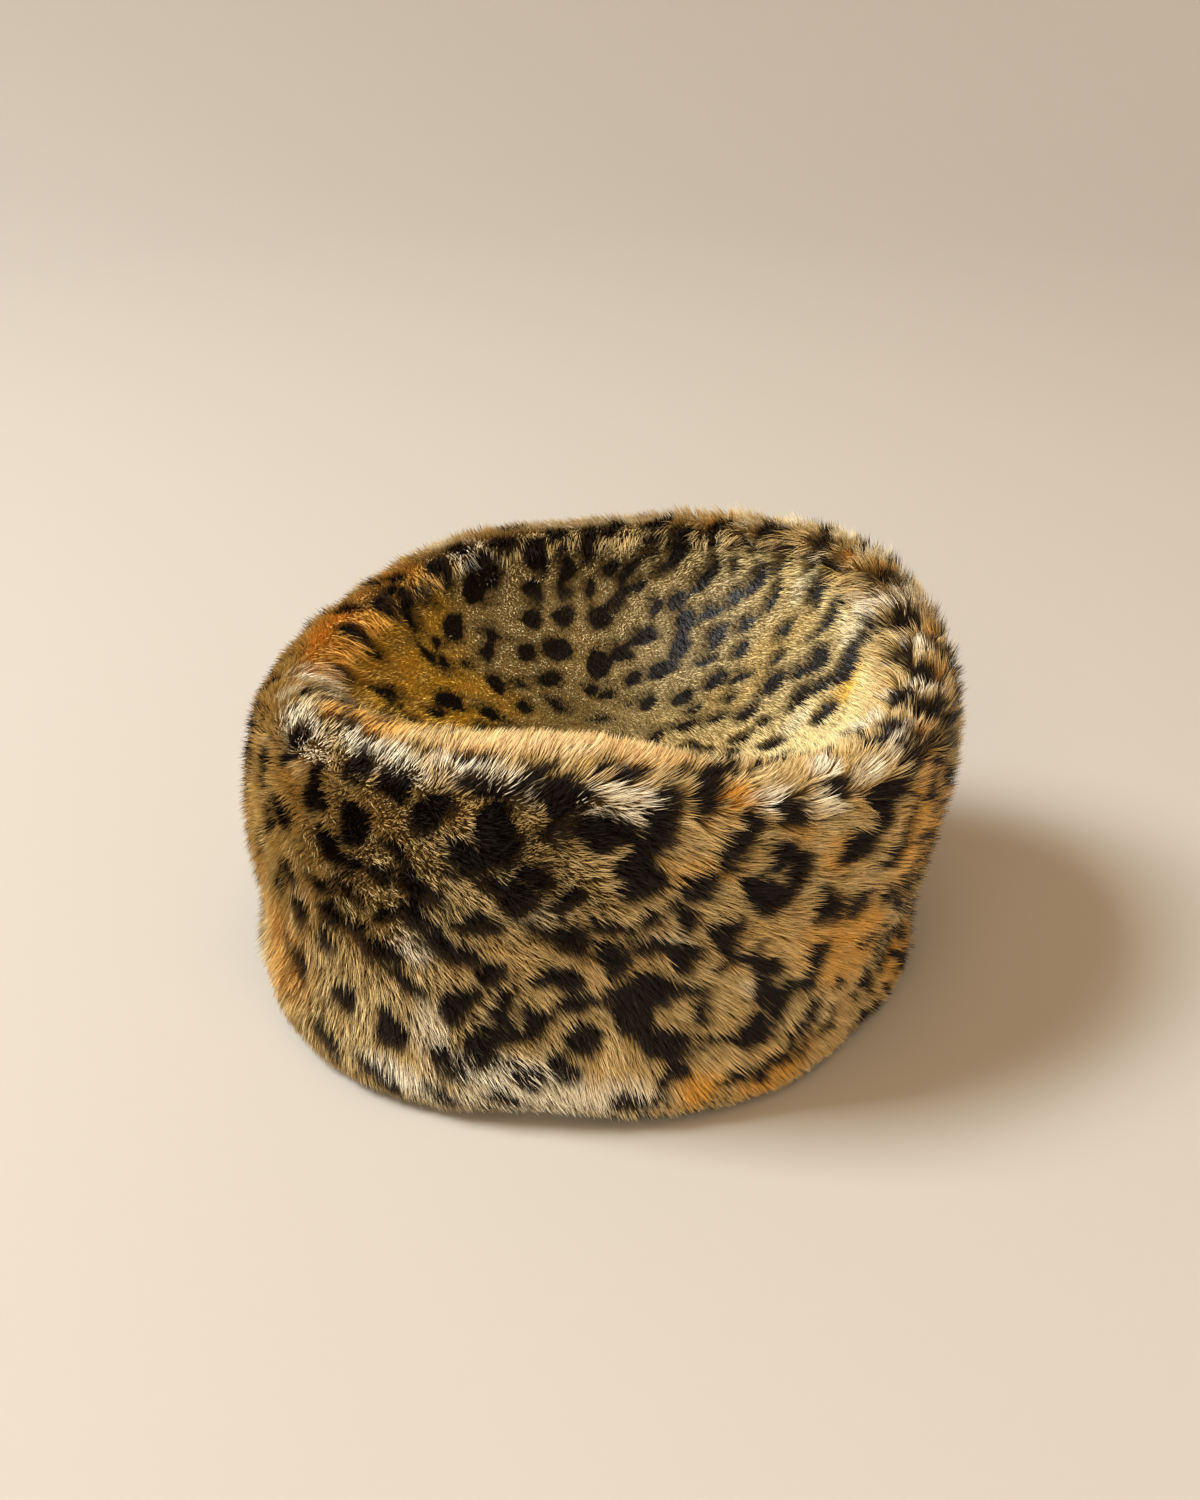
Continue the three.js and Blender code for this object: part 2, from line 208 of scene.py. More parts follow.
# Silver-cream streaks of the top.
TOP_CREAM = tuple(
    Patch(*row)
    for row in (
        (-82, -6, 16, 22, 0, 1.0), (92, -3, 12, 8, 0, 1.0), (95, -21, 16, 7, 0, 1.0),
        (90, 14, 16, 8, 0, 1.0), (79, -46, 16, 8, 30, 0.9), (70, -52, 16, 8, 30, 1.0),
        (79, 15, 14, 12, 20, 0.8), (58, -5, 12, 8, 30, 0.8), (83, 37, 16, 8, 30, 0.9),
        (60, 62, 14, 7, 40, 0.8), (76, 50, 12, 6, 50, 0.8), (93, 20, 14, 6, 10, 0.9),
        (47, 65, 12, 8, 0, 0.7), (0, 80, 70, 12, 0, 0.6), (-50, 68, 50, 14, -35, 0.6),
        (-10, -80, 110, 12, 0, 0.3), (62, 36, 14, 8, 25, 0.6), (10, 40, 80, 40, 0, 0.32),
        (88, -38, 14, 5, -10, 0.8), (84, -22, 14, 4, -5, 0.7), (95, -36, 10, 4, -15, 0.6),
        (72, -34, 14, 7, 30, 0.7),
    )
)

# Warm ginger stretches of the top.
TOP_GINGER = tuple(
    Patch(*row)
    for row in (
        (-62, 22, 46, 56, 0, 1.0), (-78, 16, 26, 50, 0, 0.95), (-48, 12, 50, 22, -15, 0.9),
        (-60, 48, 34, 18, -25, 0.8), (-36, 26, 34, 12, -20, 0.7), (74, 35, 9, 7, 0, 0.8),
        (70, -4, 22, 8, 28, 0.8), (95, -40, 14, 12, 0, 0.8), (45, 22, 34, 16, 25, 0.3),
        (38, 70, 14, 9, 0, 0.6), (99, 6, 9, 5, 0, 0.5), (86, 30, 8, 5, 10, 0.6), (98, -12, 12, 4, -5, 0.6),
        (-20, -79, 150, 14, 0, 0.45), (60, -68, 30, 10, 30, 0.6), (-60, -55, 60, 40, 30, 0.8),
    )
)


class Wander(NamedTuple):
    """Smooth seeded noise over an unrolled surface."""

    amount: float
    reach: float  # mm, the size of its lumps
    seed: int

    def over(self, across: Array, along: Array) -> Array:
        """The noise at each point.

        Args:
            across: mm along the first way.
            along: mm along the other.

        Returns:
            One value a point, about -amount to amount.
        """
        rng = np.random.default_rng(self.seed)
        waves = 9
        pitches = (1.4, 3.2)  # least and most wavelength, as shares of the reach
        total = np.zeros(np.broadcast(across, along).shape)
        for _ in range(waves):
            heading = rng.uniform(0, 2 * math.pi)
            pitch = self.reach * rng.uniform(*pitches)
            phase = rng.uniform(0, 2 * math.pi)
            travelled = across * math.cos(heading) + along * math.sin(heading)
            total += np.sin(2 * math.pi * travelled / pitch + phase)
        return self.amount * (total / math.sqrt(waves))


def smoothstep(low: float, high: float, value: Array) -> Array:
    """A soft step from 0 at low to 1 at high."""
    share = np.clip((value - low) / (high - low), 0, 1)
    return share * share * (3 - 2 * share)


def reach_from(mark: Blotch | Patch, dx: Array, dy: Array) -> Array:
    """How far points lie from a mark's middle.

    Args:
        mark: the mark, an oval.
        dx: mm from its middle along the first way.
        dy: mm along the other.

    Returns:
        One value a point, 1 on the mark's outline.
    """
    cos, sin = math.cos(math.radians(mark.lean)), math.sin(math.radians(mark.lean))
    return np.hypot((dx * cos + dy * sin) / (mark.long / 2), (dy * cos - dx * sin) / (mark.wide / 2))


def staggered(rng: np.random.Generator, start: Span, counts: tuple[int, int], pitch: Span) -> Iterator[Span]:
    """Places on a staggered grid, each one moved a little by chance.

    Args:
        rng: draws two numbers for each place.
        start: the grid's first corner, in mm.
        counts: how many columns and rows.
        pitch: mm between columns and between rows.

    Yields:
        Each place, row by row.
    """
    chance = 0.3
    for row in range(counts[1]):
        for column in range(counts[0]):
            x = start[0] + (column + 0.5 * (row % 2) + rng.uniform(-chance, chance)) * pitch[0]
            y = start[1] + (row + rng.uniform(-chance, chance)) * pitch[1]
            yield x, y


def marks_over(across: Array, along: Array, marks: Iterable[Blotch], spread: float) -> Array:
    """How deep each point lies inside the nearest mark.

    Args:
        across: mm of each point along the first way.
        along: mm along the other.
        marks: the marks, in mm both ways.
        spread: mm that the dye runs past their outlines.

    Returns:
        One depth a point, in mm, and negative outside.
    """
    far_outside = -9.0
    skirt = 6  # mm round a mark within which its outline still counts
    steepness = 0.9
    deepest = np.full(across.shape, far_outside)
    for mark in marks:
        near = np.abs(across - mark.across) < mark.long + skirt
        near &= np.abs(along - mark.along) < mark.long + skirt
        if near.any():
            reach = reach_from(mark, across[near] - mark.across, along[near] - mark.along)
            deepest[near] = np.maximum(deepest[near], (1 - reach) * (mark.wide / 2) * steepness + spread)
    return deepest


def tint_over(
    across: Array, along: Array, patches: Iterable[Patch], round_trip: float,
) -> Array:
    """How strongly the patches tint each point.

    Args:
        across: mm of each point along the first way.
        along: mm along the other.
        patches: the patches, in mm both ways.
        round_trip: mm after which the first way comes back to its start.

    Returns:
        One value a point, 0 to 1.
    """
    soft_edge = (0.55, 1.35)  # from full colour to none, as shares of the way to the outline
    tint = np.zeros(across.shape)
    for patch in patches:
        dx = (across - patch.across + round_trip / 2) % round_trip - round_trip / 2
        reach = reach_from(patch, dx, along - patch.along)
        tint = np.maximum(tint, patch.strength * (1 - smoothstep(*soft_edge, reach)))
    return tint


@dataclass
class PeltPrint:
    """The leopard print, as smooth fields over the unrolled cloth and over the top."""

    per_degree: float = 1.76  # mm of cloth round the band for each degree
    charted_turns: Span = (194.0, 322.0)  # degrees between which the front's own marks are charted
    charted_top: float = 117.0  # mm up the wall where that chart ends
    chart_fade: float = 3.0  # degrees or mm over which it gives way
    front_spread: float = 0.7  # mm that the dye runs past a mark in the long pile in front
    rest_spread: float = 0.5  # the same past a seeded mark
    top_spread: float = 0.45  # the same past a charted mark of the top
    seed: int = 11
    row_share: float = 0.86  # pitch of the band's rows of seeded marks, as a share of their pitch along a row
    spot_pitch: float = 12.5  # mm
    spot_heights: Span = (-26, 150)  # mm up the cloth
    spot_long: Span = (7.5, 12.5)  # mm, least and most
    spot_wide: Span = (4.8, 7.2)
    spot_lean: float = 70.0  # degrees, most, to either side
    ring_share: float = 0.22  # of the seeded marks are broken rings
    ring_reach: Span = (3.6, 4.8)  # mm
    ring_steps: tuple[int, ...] = (60, 140, 220, 300)  # degrees from the gap to each piece
    ring_piece: Span = (7.2, 3.6)  # mm long and wide
    ring_stray: float = 12.0  # degrees that a piece may be off its step
    dish_half: float = 125.0  # mm from the middle to the end of the dish's seeded marks
    dish_pitch: float = 11.0
    dish_row_share: float = 0.88
    dish_long: Span = (6.5, 9.5)
    dish_wide: Span = (4.6, 6.2)
    dish_lean: float = 90.0
    band_edges: tuple[Wander, Wander] = (Wander(1.5, 5.5, 21), Wander(1.5, 5.5, 22))
    top_edges: tuple[Wander, Wander] = (Wander(0.8, 4.0, 41), Wander(0.8, 4.0, 42))
    band_streaks: Wander = Wander(0.22, 3.0, 31)
    top_streaks: Wander = Wander(0.2, 4.5, 43)
    band_warmth: Wander = Wander(0.1, 18, 33)
    top_warmth: Wander = Wander(0.08, 20, 44)

    def _seeded_band(self, width: float) -> list[Blotch]:
        """Seeded marks round the band, single spots and broken rings.

        Args:
            width: mm round the band.

        Returns:
            The marks, in mm both ways.
        """
        rng = np.random.default_rng(self.seed)
        low, high = self.spot_heights
        row_pitch = self.row_share * self.spot_pitch
        columns = int(width / self.spot_pitch)
        counts = (columns, int((high - low) / row_pitch) + 1)
        marks = []
        for x, y in staggered(rng, (0.0, low), counts, (width / columns, row_pitch)):
            lean = rng.uniform(-self.spot_lean, self.spot_lean)
            if rng.uniform() < self.ring_share:
                ring, gap = rng.uniform(*self.ring_reach), rng.uniform(0, 360)
                for step in self.ring_steps:
                    angle = math.radians(gap + step + rng.uniform(-self.ring_stray, self.ring_stray))
                    place = (x + ring * math.cos(angle), y + ring * math.sin(angle))
                    marks.append(Blotch(*place, *self.ring_piece, math.degrees(angle) + 90))
            else:
                marks.append(Blotch(x, y, rng.uniform(*self.spot_long), rng.uniform(*self.spot_wide), lean))
        return marks

    def _seeded_dish(self) -> list[Blotch]:
        """Seeded marks over the top's plan, for the part that no view from the front shows.

        Returns:
            The marks, in mm both ways.
        """
        dish_stream = 5
        rng = np.random.default_rng(self.seed + dish_stream)
        pitch = (self.dish_pitch, self.dish_row_share * self.dish_pitch)
        counts = (int(2 * self.dish_half / pitch[0]), int(2 * self.dish_half / pitch[1]))
        marks = []
        for x, y in staggered(rng, (-self.dish_half, -self.dish_half), counts, pitch):
            lean = rng.uniform(-self.dish_lean, self.dish_lean)
            marks.append(Blotch(x, y, rng.uniform(*self.dish_long), rng.uniform(*self.dish_wide), lean))
        return marks

    def _front(self, turn: Array, along: Array) -> Array:
        """The share of the front's chart in the print.

        Args:
            turn: degrees round the oval.
            along: mm up the wall.

        Returns:
            One share a point.
        """
        (first, last), fade = self.charted_turns, self.chart_fade
        sides = smoothstep(first, first + fade, turn) * (1 - smoothstep(last - fade, last, turn))
        ends = (1 - smoothstep(self.charted_top - fade, self.charted_top, along)) * smoothstep(0, fade, along)
        return sides * ends

    def band(self, turn: Array, height: Array) -> dict[str, Array]:
        """The print of the side band.

        Args:
            turn: degrees round the oval.
            height: mm up the wall and on round the roll, and below zero on the hem.

        Returns:
            The fields spot (mm inside a mark), ginger and cream (0 to 1).
        """
        width = 360 * self.per_degree
        across, along = turn * self.per_degree, np.array(height, float)
        warped = [way + edge.over(across, along) for way, edge in zip((across, along), self.band_edges)]
        charted, ginger_patches, cream_and_highlight_patches = (
            [mark._replace(across=mark.across * self.per_degree) for mark in chart]
            for chart in (BAND_BLOTCHES, BAND_GINGER, BAND_CREAM_AND_HIGHLIGHT)
        )
        seeded = self._seeded_band(width)
        seeded += [mark._replace(across=mark.across + shift) for mark in seeded for shift in (-width, width)]
        spots = marks_over(*warped, charted, self.front_spread)
        rest = marks_over(*warped, seeded, self.rest_spread)
        streaks = self.band_streaks.over(across, along)
        ginger = tint_over(across, along, ginger_patches, width)
        # the cream is partly painted highlight along the top of the left front
        cream = tint_over(across, along, cream_and_highlight_patches, width)
        barely_cream = 0.05
        return {
            "spot": np.where(self._front(turn, along) > 0.5, spots, rest),
            "ginger": np.clip(ginger + streaks * ginger + self.band_warmth.over(across, along), 0, 1),
            "cream": np.clip(cream + 0.5 * streaks * (cream > barely_cream), 0, 1),
        }

    def top(self, x: Array, y: Array) -> dict[str, Array]:
        """The print of the rolled rim and the sunk crown, seen from above.

        Args:
            x: mm to the right of the middle.
            y: mm behind it.

        Returns:
            The same fields as band().
        """
        warped = [way + edge.over(x, y) for way, edge in zip((x, y), self.top_edges)]
        charted = marks_over(*warped, TOP_BLOTCHES, self.top_spread)
        seeded = marks_over(*warped, self._seeded_dish(), self.rest_spread)
        no_return = 1000.0
        ginger = tint_over(x, y, TOP_GINGER, no_return)
        cream = tint_over(x, y, TOP_CREAM, no_return)
        streaks = self.top_streaks.over(x, y)
        bare = 5.0  # mm that marks are pushed under where the crest has none
        less_cream = 0.8  # how far ginger keeps cream away
        return {
            "spot": np.where(self._is_charted(x, y), charted, seeded) - bare * self._bare_crest(x, y),
            "ginger": np.clip(ginger * (1 + streaks) + self.top_warmth.over(x, y), 0, 1),
            "cream": np.clip(cream * (1 + 2 * streaks) * (1 - less_cream * ginger), 0, 1),
        }

    @staticmethod
    def _is_charted(x: Array, y: Array) -> Array:
        """Where the top's marks are charted: behind a line that comes forward at both sides.

        Args:
            x: mm to the right of the middle.
            y: mm behind it.

        Returns:
            True or False for each point.
        """
        line, left, right = 15, -52, 18
        left_slope, right_slope = 1.2, 0.95
        return y > line - right_slope * np.maximum(x - right, 0) - left_slope * np.maximum(left - x, 0)

    @staticmethod
    def _bare_crest(x: Array, y: Array) -> Array:
        """The strip of the front crest that has no dark marks.

        Args:
            x: mm to the right of the middle.
            y: mm behind it.

        Returns:
            One share a point.
        """
        depth, ends, middle = (-72, -66), (42, 52), -18
        return (1 - smoothstep(*depth, y)) * (1 - smoothstep(*ends, np.abs(x - middle)))


def blurred(grid: Array, turns: int, rows: int) -> Array:
    """A grid of points softened by its neighbours, looped round the hat and open across it.

    Args:
        grid: array of rows by columns by values.
        turns: how many times it is softened round the hat.
        rows: how many times it is softened across.

    Returns:
        The softened grid.
    """
    soft = grid.copy()
    for _ in range(turns):
        soft = 0.5 * soft + 0.25 * (np.roll(soft, 1, axis=1) + np.roll(soft, -1, axis=1))
    for _ in range(rows):
        inner = 0.5 * soft[1:-1] + 0.25 * (soft[:-2] + soft[2:])
        soft = np.concatenate([soft[:1], inner, soft[-1:]])
    return soft


def units_of(vectors: Array) -> Array:
    """Vectors along the last axis, made one long."""
    return vectors / np.maximum(np.linalg.norm(vectors, axis=-1, keepdims=True), TINY)


def way_round(grid: Array) -> Array:
    """From each point of a looped grid, the way round the hat."""
    return np.roll(grid, -1, axis=1) - np.roll(grid, 1, axis=1)


@dataclass
class FurFace:
    """A looped grid over one piece of fur cloth: its outer form, and what grows on it."""

    outer: Array  # rows by columns by 3, where the pile ends
    depth: Array  # rows, how deep the pile stands
    turn: Array  # rows by columns, degrees round the oval
    fields: dict[str, Array] = field(default_factory=dict)

    def __post_init__(self) -> None:
        """Works out the normals and the skin that the pile grows from."""
        self.normal = units_of(np.cross(way_round(self.outer), np.gradient(self.outer, axis=0)))
        self.skin = self.outer - self.normal * self.depth[:, None, None]

    def lay(self, angle: Array) -> Array:
        """Unit vectors at an angle up from the way round.

        Args:
            angle: degrees towards the way across, rows by columns.

        Returns:
            Rows by columns by 3.
        """
        along = units_of(way_round(self.skin))
        across = np.cross(self.normal, along)
        turned = np.radians(angle)[..., None]
        return along * np.cos(turned) + across * np.sin(turned)

    def plan(self, way: Array, reach: float) -> tuple[Array, Array]:
        """Where the pile shows, seen from above.

        Args:
            way: unit vectors along which the pile lies.
            reach: how far it lies over, in mm.

        Returns:
            x and y of each point, in mm from the hat's middle.
        """
        spots = self.outer / MM + way * reach
        return spots[..., 0] - CENTRE[0] / MM, spots[..., 1] - CENTRE[1] / MM


@dataclass
class HatForm:
    """The hat's outer form, traced from its two solids, so that the fur keeps it."""

    side_band: bpy.types.Object
    crown_tip: bpy.types.Object
    long: float = 213 * MM
    wide: float = 188 * MM
    roll_radius: float = 14 * MM
    roll_turn: float = 142.0  # degrees that the edge rolls
    hem_depth: float = 18 * MM
    hem_height: float = 20 * MM
    high_wall: float = 82 * MM  # a height that the wall reaches all the way round
    tip_inset: float = 9 * MM  # from the middle of the roll in to the crown tip's edge
    pile: float = 5.5 * MM  # how deep the long pile stands, lying over as it does
    pressed: float = 2.2 * MM  # the same under the foot
    tip_pile: float = 2.5 * MM
    clear: float = 60 * MM  # out from the plan oval, past all fur
    past_cloth: float = 50 * MM  # from inside the cloth to past its fur
    overhead: float = 1.0  # metres, over the whole hat
    hem_rows: int = 6
    foot_rows: int = 13
    wall_rows: int = 49
    roll_rows: int = 26
    columns: int = 384
    tip_rows: int = 56
    tip_columns: int = 288
    tip_middle: float = 0.012  # where the innermost row lies, as a share of the way out

    def __post_init__(self) -> None:
        """Builds the search trees of both solids."""
        self.band_tree = self._tree(self.side_band)
        self.tip_tree = self._tree(self.crown_tip)

    @staticmethod
    def _tree(node: bpy.types.Object) -> BVHTree:
        """A search tree of a node's triangles."""
        mesh = node.data
        return BVHTree.FromPolygons([v.co for v in mesh.vertices], [tuple(p.vertices) for p in mesh.polygons])

    def _plan(self, turn: float, inset: float) -> tuple[float, float, float, float]:
        """A point in from the plan oval.

        Args:
            turn: degrees round the oval.
            inset: metres in from it.

        Returns:
            x, y, and the two parts of the unit way out from there.
        """
        angle = math.radians(turn)
        out_x, out_y = math.cos(angle) / self.long, math.sin(angle) / self.wide
        size = math.hypot(out_x, out_y)
        out_x, out_y = out_x / size, out_y / size
        x = CENTRE[0] + self.long / 2 * math.cos(angle) - inset * out_x
        y = CENTRE[1] + self.wide / 2 * math.sin(angle) - inset * out_y
        return x, y, out_x, out_y

    def _inset_at(self, turn: float, height: float) -> float:
        """How far in from the plan oval the wall's fur lies.

        Args:
            turn: degrees round the oval.
            height: metres over the floor.

        Returns:
            Metres, and 0 where there is no wall.
        """
        x, y, out_x, out_y = self._plan(turn, -self.clear)
        hit = self.band_tree.ray_cast(Vector((x, y, height)), Vector((-out_x, -out_y, 0)))
        return hit[3] - self.clear if hit[0] is not None else 0.0

    def _from_above(self, tree: BVHTree, x: float, y: float) -> Vector | None:
        """The highest point of a solid over a place in the plan."""
        return tree.ray_cast(Vector((x, y, self.overhead)), Vector((0, 0, -1)))[0]

    def _fan(self, turn: float, inset: float, height: float, angles: Array) -> list[Point]:
        """Where rays from a point inside the cloth, in the plane of one turn, leave the band.

        Args:
            turn: degrees round the oval.
            inset: the point's metres in from the plan oval.
            height: its metres over the floor.
            angles: the rays' radians up from the way out.

        Returns:
            One point a ray.
        """
        x, y, out_x, out_y = self._plan(turn, inset)
        middle = Vector((x, y, height))
        points = []
        for angle in angles:
            flat, rise = math.cos(angle), math.sin(angle)
            far = middle + self.past_cloth * Vector((out_x * flat, out_y * flat, rise))
            hit = self.band_tree.ray_cast(far, middle - far)
            points.append(tuple(hit[0]) if hit[0] is not None else tuple(middle))
        return points

    def _section(self, turn: float) -> tuple[list[Point], list[float], float]:
        """The band's outer form in the plane of one turn, from the hem's inner end to the roll's.

        Args:
            turn: degrees round the oval.

        Returns:
            Its points, how far up the cloth each one lies in mm, and the shoulder's height in mm.
        """
        foot_middle = self.hem_depth / 2
        foot_inset = self._inset_at(turn, foot_middle) + foot_middle
        x, y, _, _ = self._plan(turn, self._inset_at(turn, self.high_wall) + self.roll_radius)
        shoulder = self._from_above(self.band_tree, x, y).z - self.roll_radius
        roll_inset = self._inset_at(turn, shoulder) + self.roll_radius
        foot_angles = np.radians(np.linspace(180, 360, self.foot_rows))
        roll_angles = np.radians(np.linspace(0, self.roll_turn, self.roll_rows + 1)[1:])
        x, y, _, _ = self._plan(turn, foot_inset + foot_middle)
        points = [(x, y, z) for z in np.linspace(self.hem_height, foot_middle, self.hem_rows + 1)[:-1]]
        points += self._fan(turn, foot_inset, foot_middle, foot_angles)
        for share in np.linspace(0, 1, self.wall_rows + 1)[1:]:
            z = foot_middle + share * (shoulder - foot_middle)
            x, y, _, _ = self._plan(turn, self._inset_at(turn, z))
            points.append((x, y, z))
        lowest = self.hem_rows + self.foot_rows // 2
        heights = [-z / MM for _, _, z in points[:lowest]] + [z / MM for _, _, z in points[lowest:]]
        heights += [(shoulder + self.roll_radius * angle) / MM for angle in roll_angles]
        points += self._fan(turn, roll_inset, shoulder, roll_angles)
        return points, heights, shoulder / MM

    def band_face(self) -> FurFace:
        """The band's face, from the hem's upper end inside, under the foot, up the wall and over the roll.

        Returns:
            The face, with height and past_shoulder, both in mm, among its fields.
        """
        turns = np.linspace(0, 360, self.columns, endpoint=False)
        sections, heights, shoulders = zip(*(self._section(turn) for turn in turns))
        outer = blurred(np.array(sections).transpose(1, 0, 2), turns=3, rows=1)
        depth = np.full(outer.shape[0], self.pile)
        foot = slice(self.hem_rows, self.hem_rows + self.foot_rows)
        from_middle = np.abs(np.linspace(-1, 1, self.foot_rows))
        depth[foot] = self.pressed + (self.pile - self.pressed) * from_middle ** 3
        face = FurFace(outer, depth, np.broadcast_to(turns, outer.shape[:2]).copy())
        face.fields["height"] = np.array(heights).T
        face.fields["past_shoulder"] = (np.array(heights) - np.array(shoulders)[:, None]).T
        return face

    def tip_face(self) -> FurFace:
        """The sunk dish's face, from its seam to its middle.

        Returns:
            The face.
        """
        turns = np.linspace(0, 360, self.tip_columns, endpoint=False)
        sections = []
        for turn in turns:
            edge_x, edge_y, _, _ = self._plan(turn, self.roll_radius + self.tip_inset)
            section = []
            for share in np.linspace(1, self.tip_middle, self.tip_rows):
                x = CENTRE[0] + (edge_x - CENTRE[0]) * share
                y = CENTRE[1] + (edge_y - CENTRE[1]) * share
                section.append(self._from_above(self.tip_tree, x, y))
            sections.append(self._filled(section))
        outer = blurred(np.array(sections).transpose(1, 0, 2), turns=4, rows=2)
        turn_grid = np.broadcast_to(turns, outer.shape[:2]).copy()
        return FurFace(outer, np.full(outer.shape[0], self.tip_pile), turn_grid)

    @staticmethod
    def _filled(section: list[Vector | None]) -> list[Point]:
        """A section whose missed outer points take the next inner one's place.

        Args:
            section: points from the edge inwards, with None where a ray missed.

        Returns:
            The points, with none missing.
        """
        kept = list(section)
        for i in range(len(kept) - 2, -1, -1):
            if kept[i] is None:
                kept[i] = kept[i + 1]
        return [tuple(point) for point in kept]


class NodeWriter:
    """Places nodes in a tree and links them, so that a graph reads as lines of code."""

    def __init__(self, tree: bpy.types.NodeTree) -> None:
        """Keeps the tree that is written."""
        self.tree = tree

    def node(self, kind: str, inputs: dict | None = None, **settings: object) -> bpy.types.Node:
        """Adds one node.

        Args:
            kind: the node's type name.
            inputs: socket (name or index) to a value or to an output socket.
            settings: the node's own properties.

        Returns:
            The node.
        """
        made = self.tree.nodes.new(kind)
        for name, value in settings.items():
            setattr(made, name, value)
        for key, value in (inputs or {}).items():
            socket = made.inputs[key]
            if isinstance(value, Socket):
                self.tree.links.new(value, socket)
            else:
                socket.default_value = value
        return made

    def math(self, operation: str, *values: object, clamp: bool = False) -> Socket:
        """A Math node's result."""
        made = self.node("ShaderNodeMath", dict(enumerate(values)), operation=operation, use_clamp=clamp)
        return made.outputs[0]

    def product(self, first: object, second: object) -> Socket:
        """Two numbers multiplied."""
        return self.math("MULTIPLY", first, second)

    def between(self, share: object, low: float, high: float) -> Socket:
        """A share spread between two limits."""
        return self.math("MULTIPLY_ADD", share, high - low, low)

    def vector(self, operation: str, *values: object) -> Socket:
        """A Vector Math node's vector."""
        return self.node("ShaderNodeVectorMath", dict(enumerate(values)), operation=operation).outputs[0]

    def total(self, first: object, *others: object) -> Socket:
        """Several vectors added up.

        Args:
            first: the first of them.
            others: the others.

        Returns:
            Their sum.
        """
        for other in others:
            first = self.vector("ADD", first, other)
        return first

    def scaled(self, vector: object, by: object) -> Socket:
        """A vector times a number."""
        return self.node("ShaderNodeVectorMath", {0: vector, "Scale": by}, operation="SCALE").outputs[0]

    def dot(self, first: object, second: object) -> Socket:
        """The dot product of two vectors."""
        made = self.node("ShaderNodeVectorMath", {0: first, 1: second}, operation="DOT_PRODUCT")
        return made.outputs["Value"]

    def parts(self, vector: object) -> bpy.types.NodeOutputs:
        """A vector's parts X, Y and Z."""
        return self.node("ShaderNodeSeparateXYZ", {0: vector}).outputs

    def mixed(self, share: object, first: object, second: object) -> Socket:
        """A colour between two colours."""
        return self.node("ShaderNodeMix", {0: share, 6: first, 7: second}, data_type="RGBA").outputs[2]

    def step(self, value: object, limits: Span, results: Span = (0.0, 1.0)) -> Socket:
        """A soft step of a value between two limits."""
        inputs = dict(enumerate((value, *limits, *results)))
        return self.node("ShaderNodeMapRange", inputs, interpolation_type="SMOOTHSTEP").outputs[0]

    def named(self, name: str, kind: str = "FLOAT_VECTOR") -> Socket:
        """A named attribute's values, in a Geometry Nodes tree."""
        made = self.node("GeometryNodeInputNamedAttribute", {"Name": name}, data_type=kind)
        return made.outputs["Attribute"]

    def stored(self, geometry: object, name: str, value: object, kind: str = "FLOAT_VECTOR") -> Socket:
        """A geometry whose points carry a value under a name."""
        inputs = {"Geometry": geometry, "Name": name, "Value": value}
        return self.node("GeometryNodeStoreNamedAttribute", inputs, data_type=kind, domain="POINT").outputs[0]

    def surface(self, inputs: dict) -> None:
        """Ends a material with its shader and its output."""
        shader = self.node("ShaderNodeBsdfPrincipled", inputs)
        self.node("ShaderNodeOutputMaterial", {"Surface": shader.outputs[0]})


def blank_material(name: str) -> tuple[bpy.types.Material, NodeWriter]:
    """A material with no nodes yet, and the writer of its tree.

    Args:
        name: the material's name.

    Returns:
        Both.
    """
    made = bpy.data.materials.new(name)
    made.use_nodes = True
    made.node_tree.nodes.clear()
    return made, NodeWriter(made.node_tree)


def place_object(name: str, data: bpy.types.ID) -> bpy.types.Object:
    """A new object at the origin of the scene.

    Args:
        name: its name.
        data: its mesh, lamp or camera.

    Returns:
        The object.
    """
    made = bpy.data.objects.new(name, data)
    bpy.context.scene.collection.objects.link(made)
    return made


@dataclass(frozen=True)
class PileStyle:
    """How one pile grows."""

    density: float  # strands on each square millimetre
    length: float  # mm
    width: float  # mm
    lean: float  # how far a strand leans the way it is combed, as a share of its length
    stand: float  # how high its tip stands, as a share of its length
    clump: float  # how far its tip is drawn to the middle of its tuft
    tuft: float  # mm across a tuft
    stray: float  # how far it strays by chance, as a share of its length
    ruffle: float  # how far each tuft leans its own way, as a share of its length
    seed: int


PILE_STYLES = {
    Zone.HEM: PileStyle(
        density=0.7, length=8.0, width=0.5, lean=0.6, stand=0.5,
        clump=0.2, tuft=4.0, stray=0.2, ruffle=0.2, seed=4,
    ),
    Zone.WALL: PileStyle(
        density=2.75, length=7.4, width=0.34, lean=0.5, stand=0.76,
        clump=0.12, tuft=3.0, stray=0.1, ruffle=0.16, seed=3,
    ),
    Zone.CREST: PileStyle(
        density=2.9, length=7.0, width=0.34, lean=0.7, stand=0.62,
        clump=0.1, tuft=4.0, stray=0.07, ruffle=0.14, seed=6,
    ),
    Zone.TUFTED_RIM: PileStyle(
        density=2.75, length=8.0, width=0.36, lean=0.5, stand=0.72,
        clump=0.4, tuft=7.0, stray=0.1, ruffle=0.3, seed=5,
    ),
    Zone.TIP: PileStyle(
        density=2.75, length=3.5, width=0.36, lean=0.34, stand=0.75,
        clump=0.08, tuft=2.4, stray=0.14, ruffle=0.12, seed=7,
    ),
}


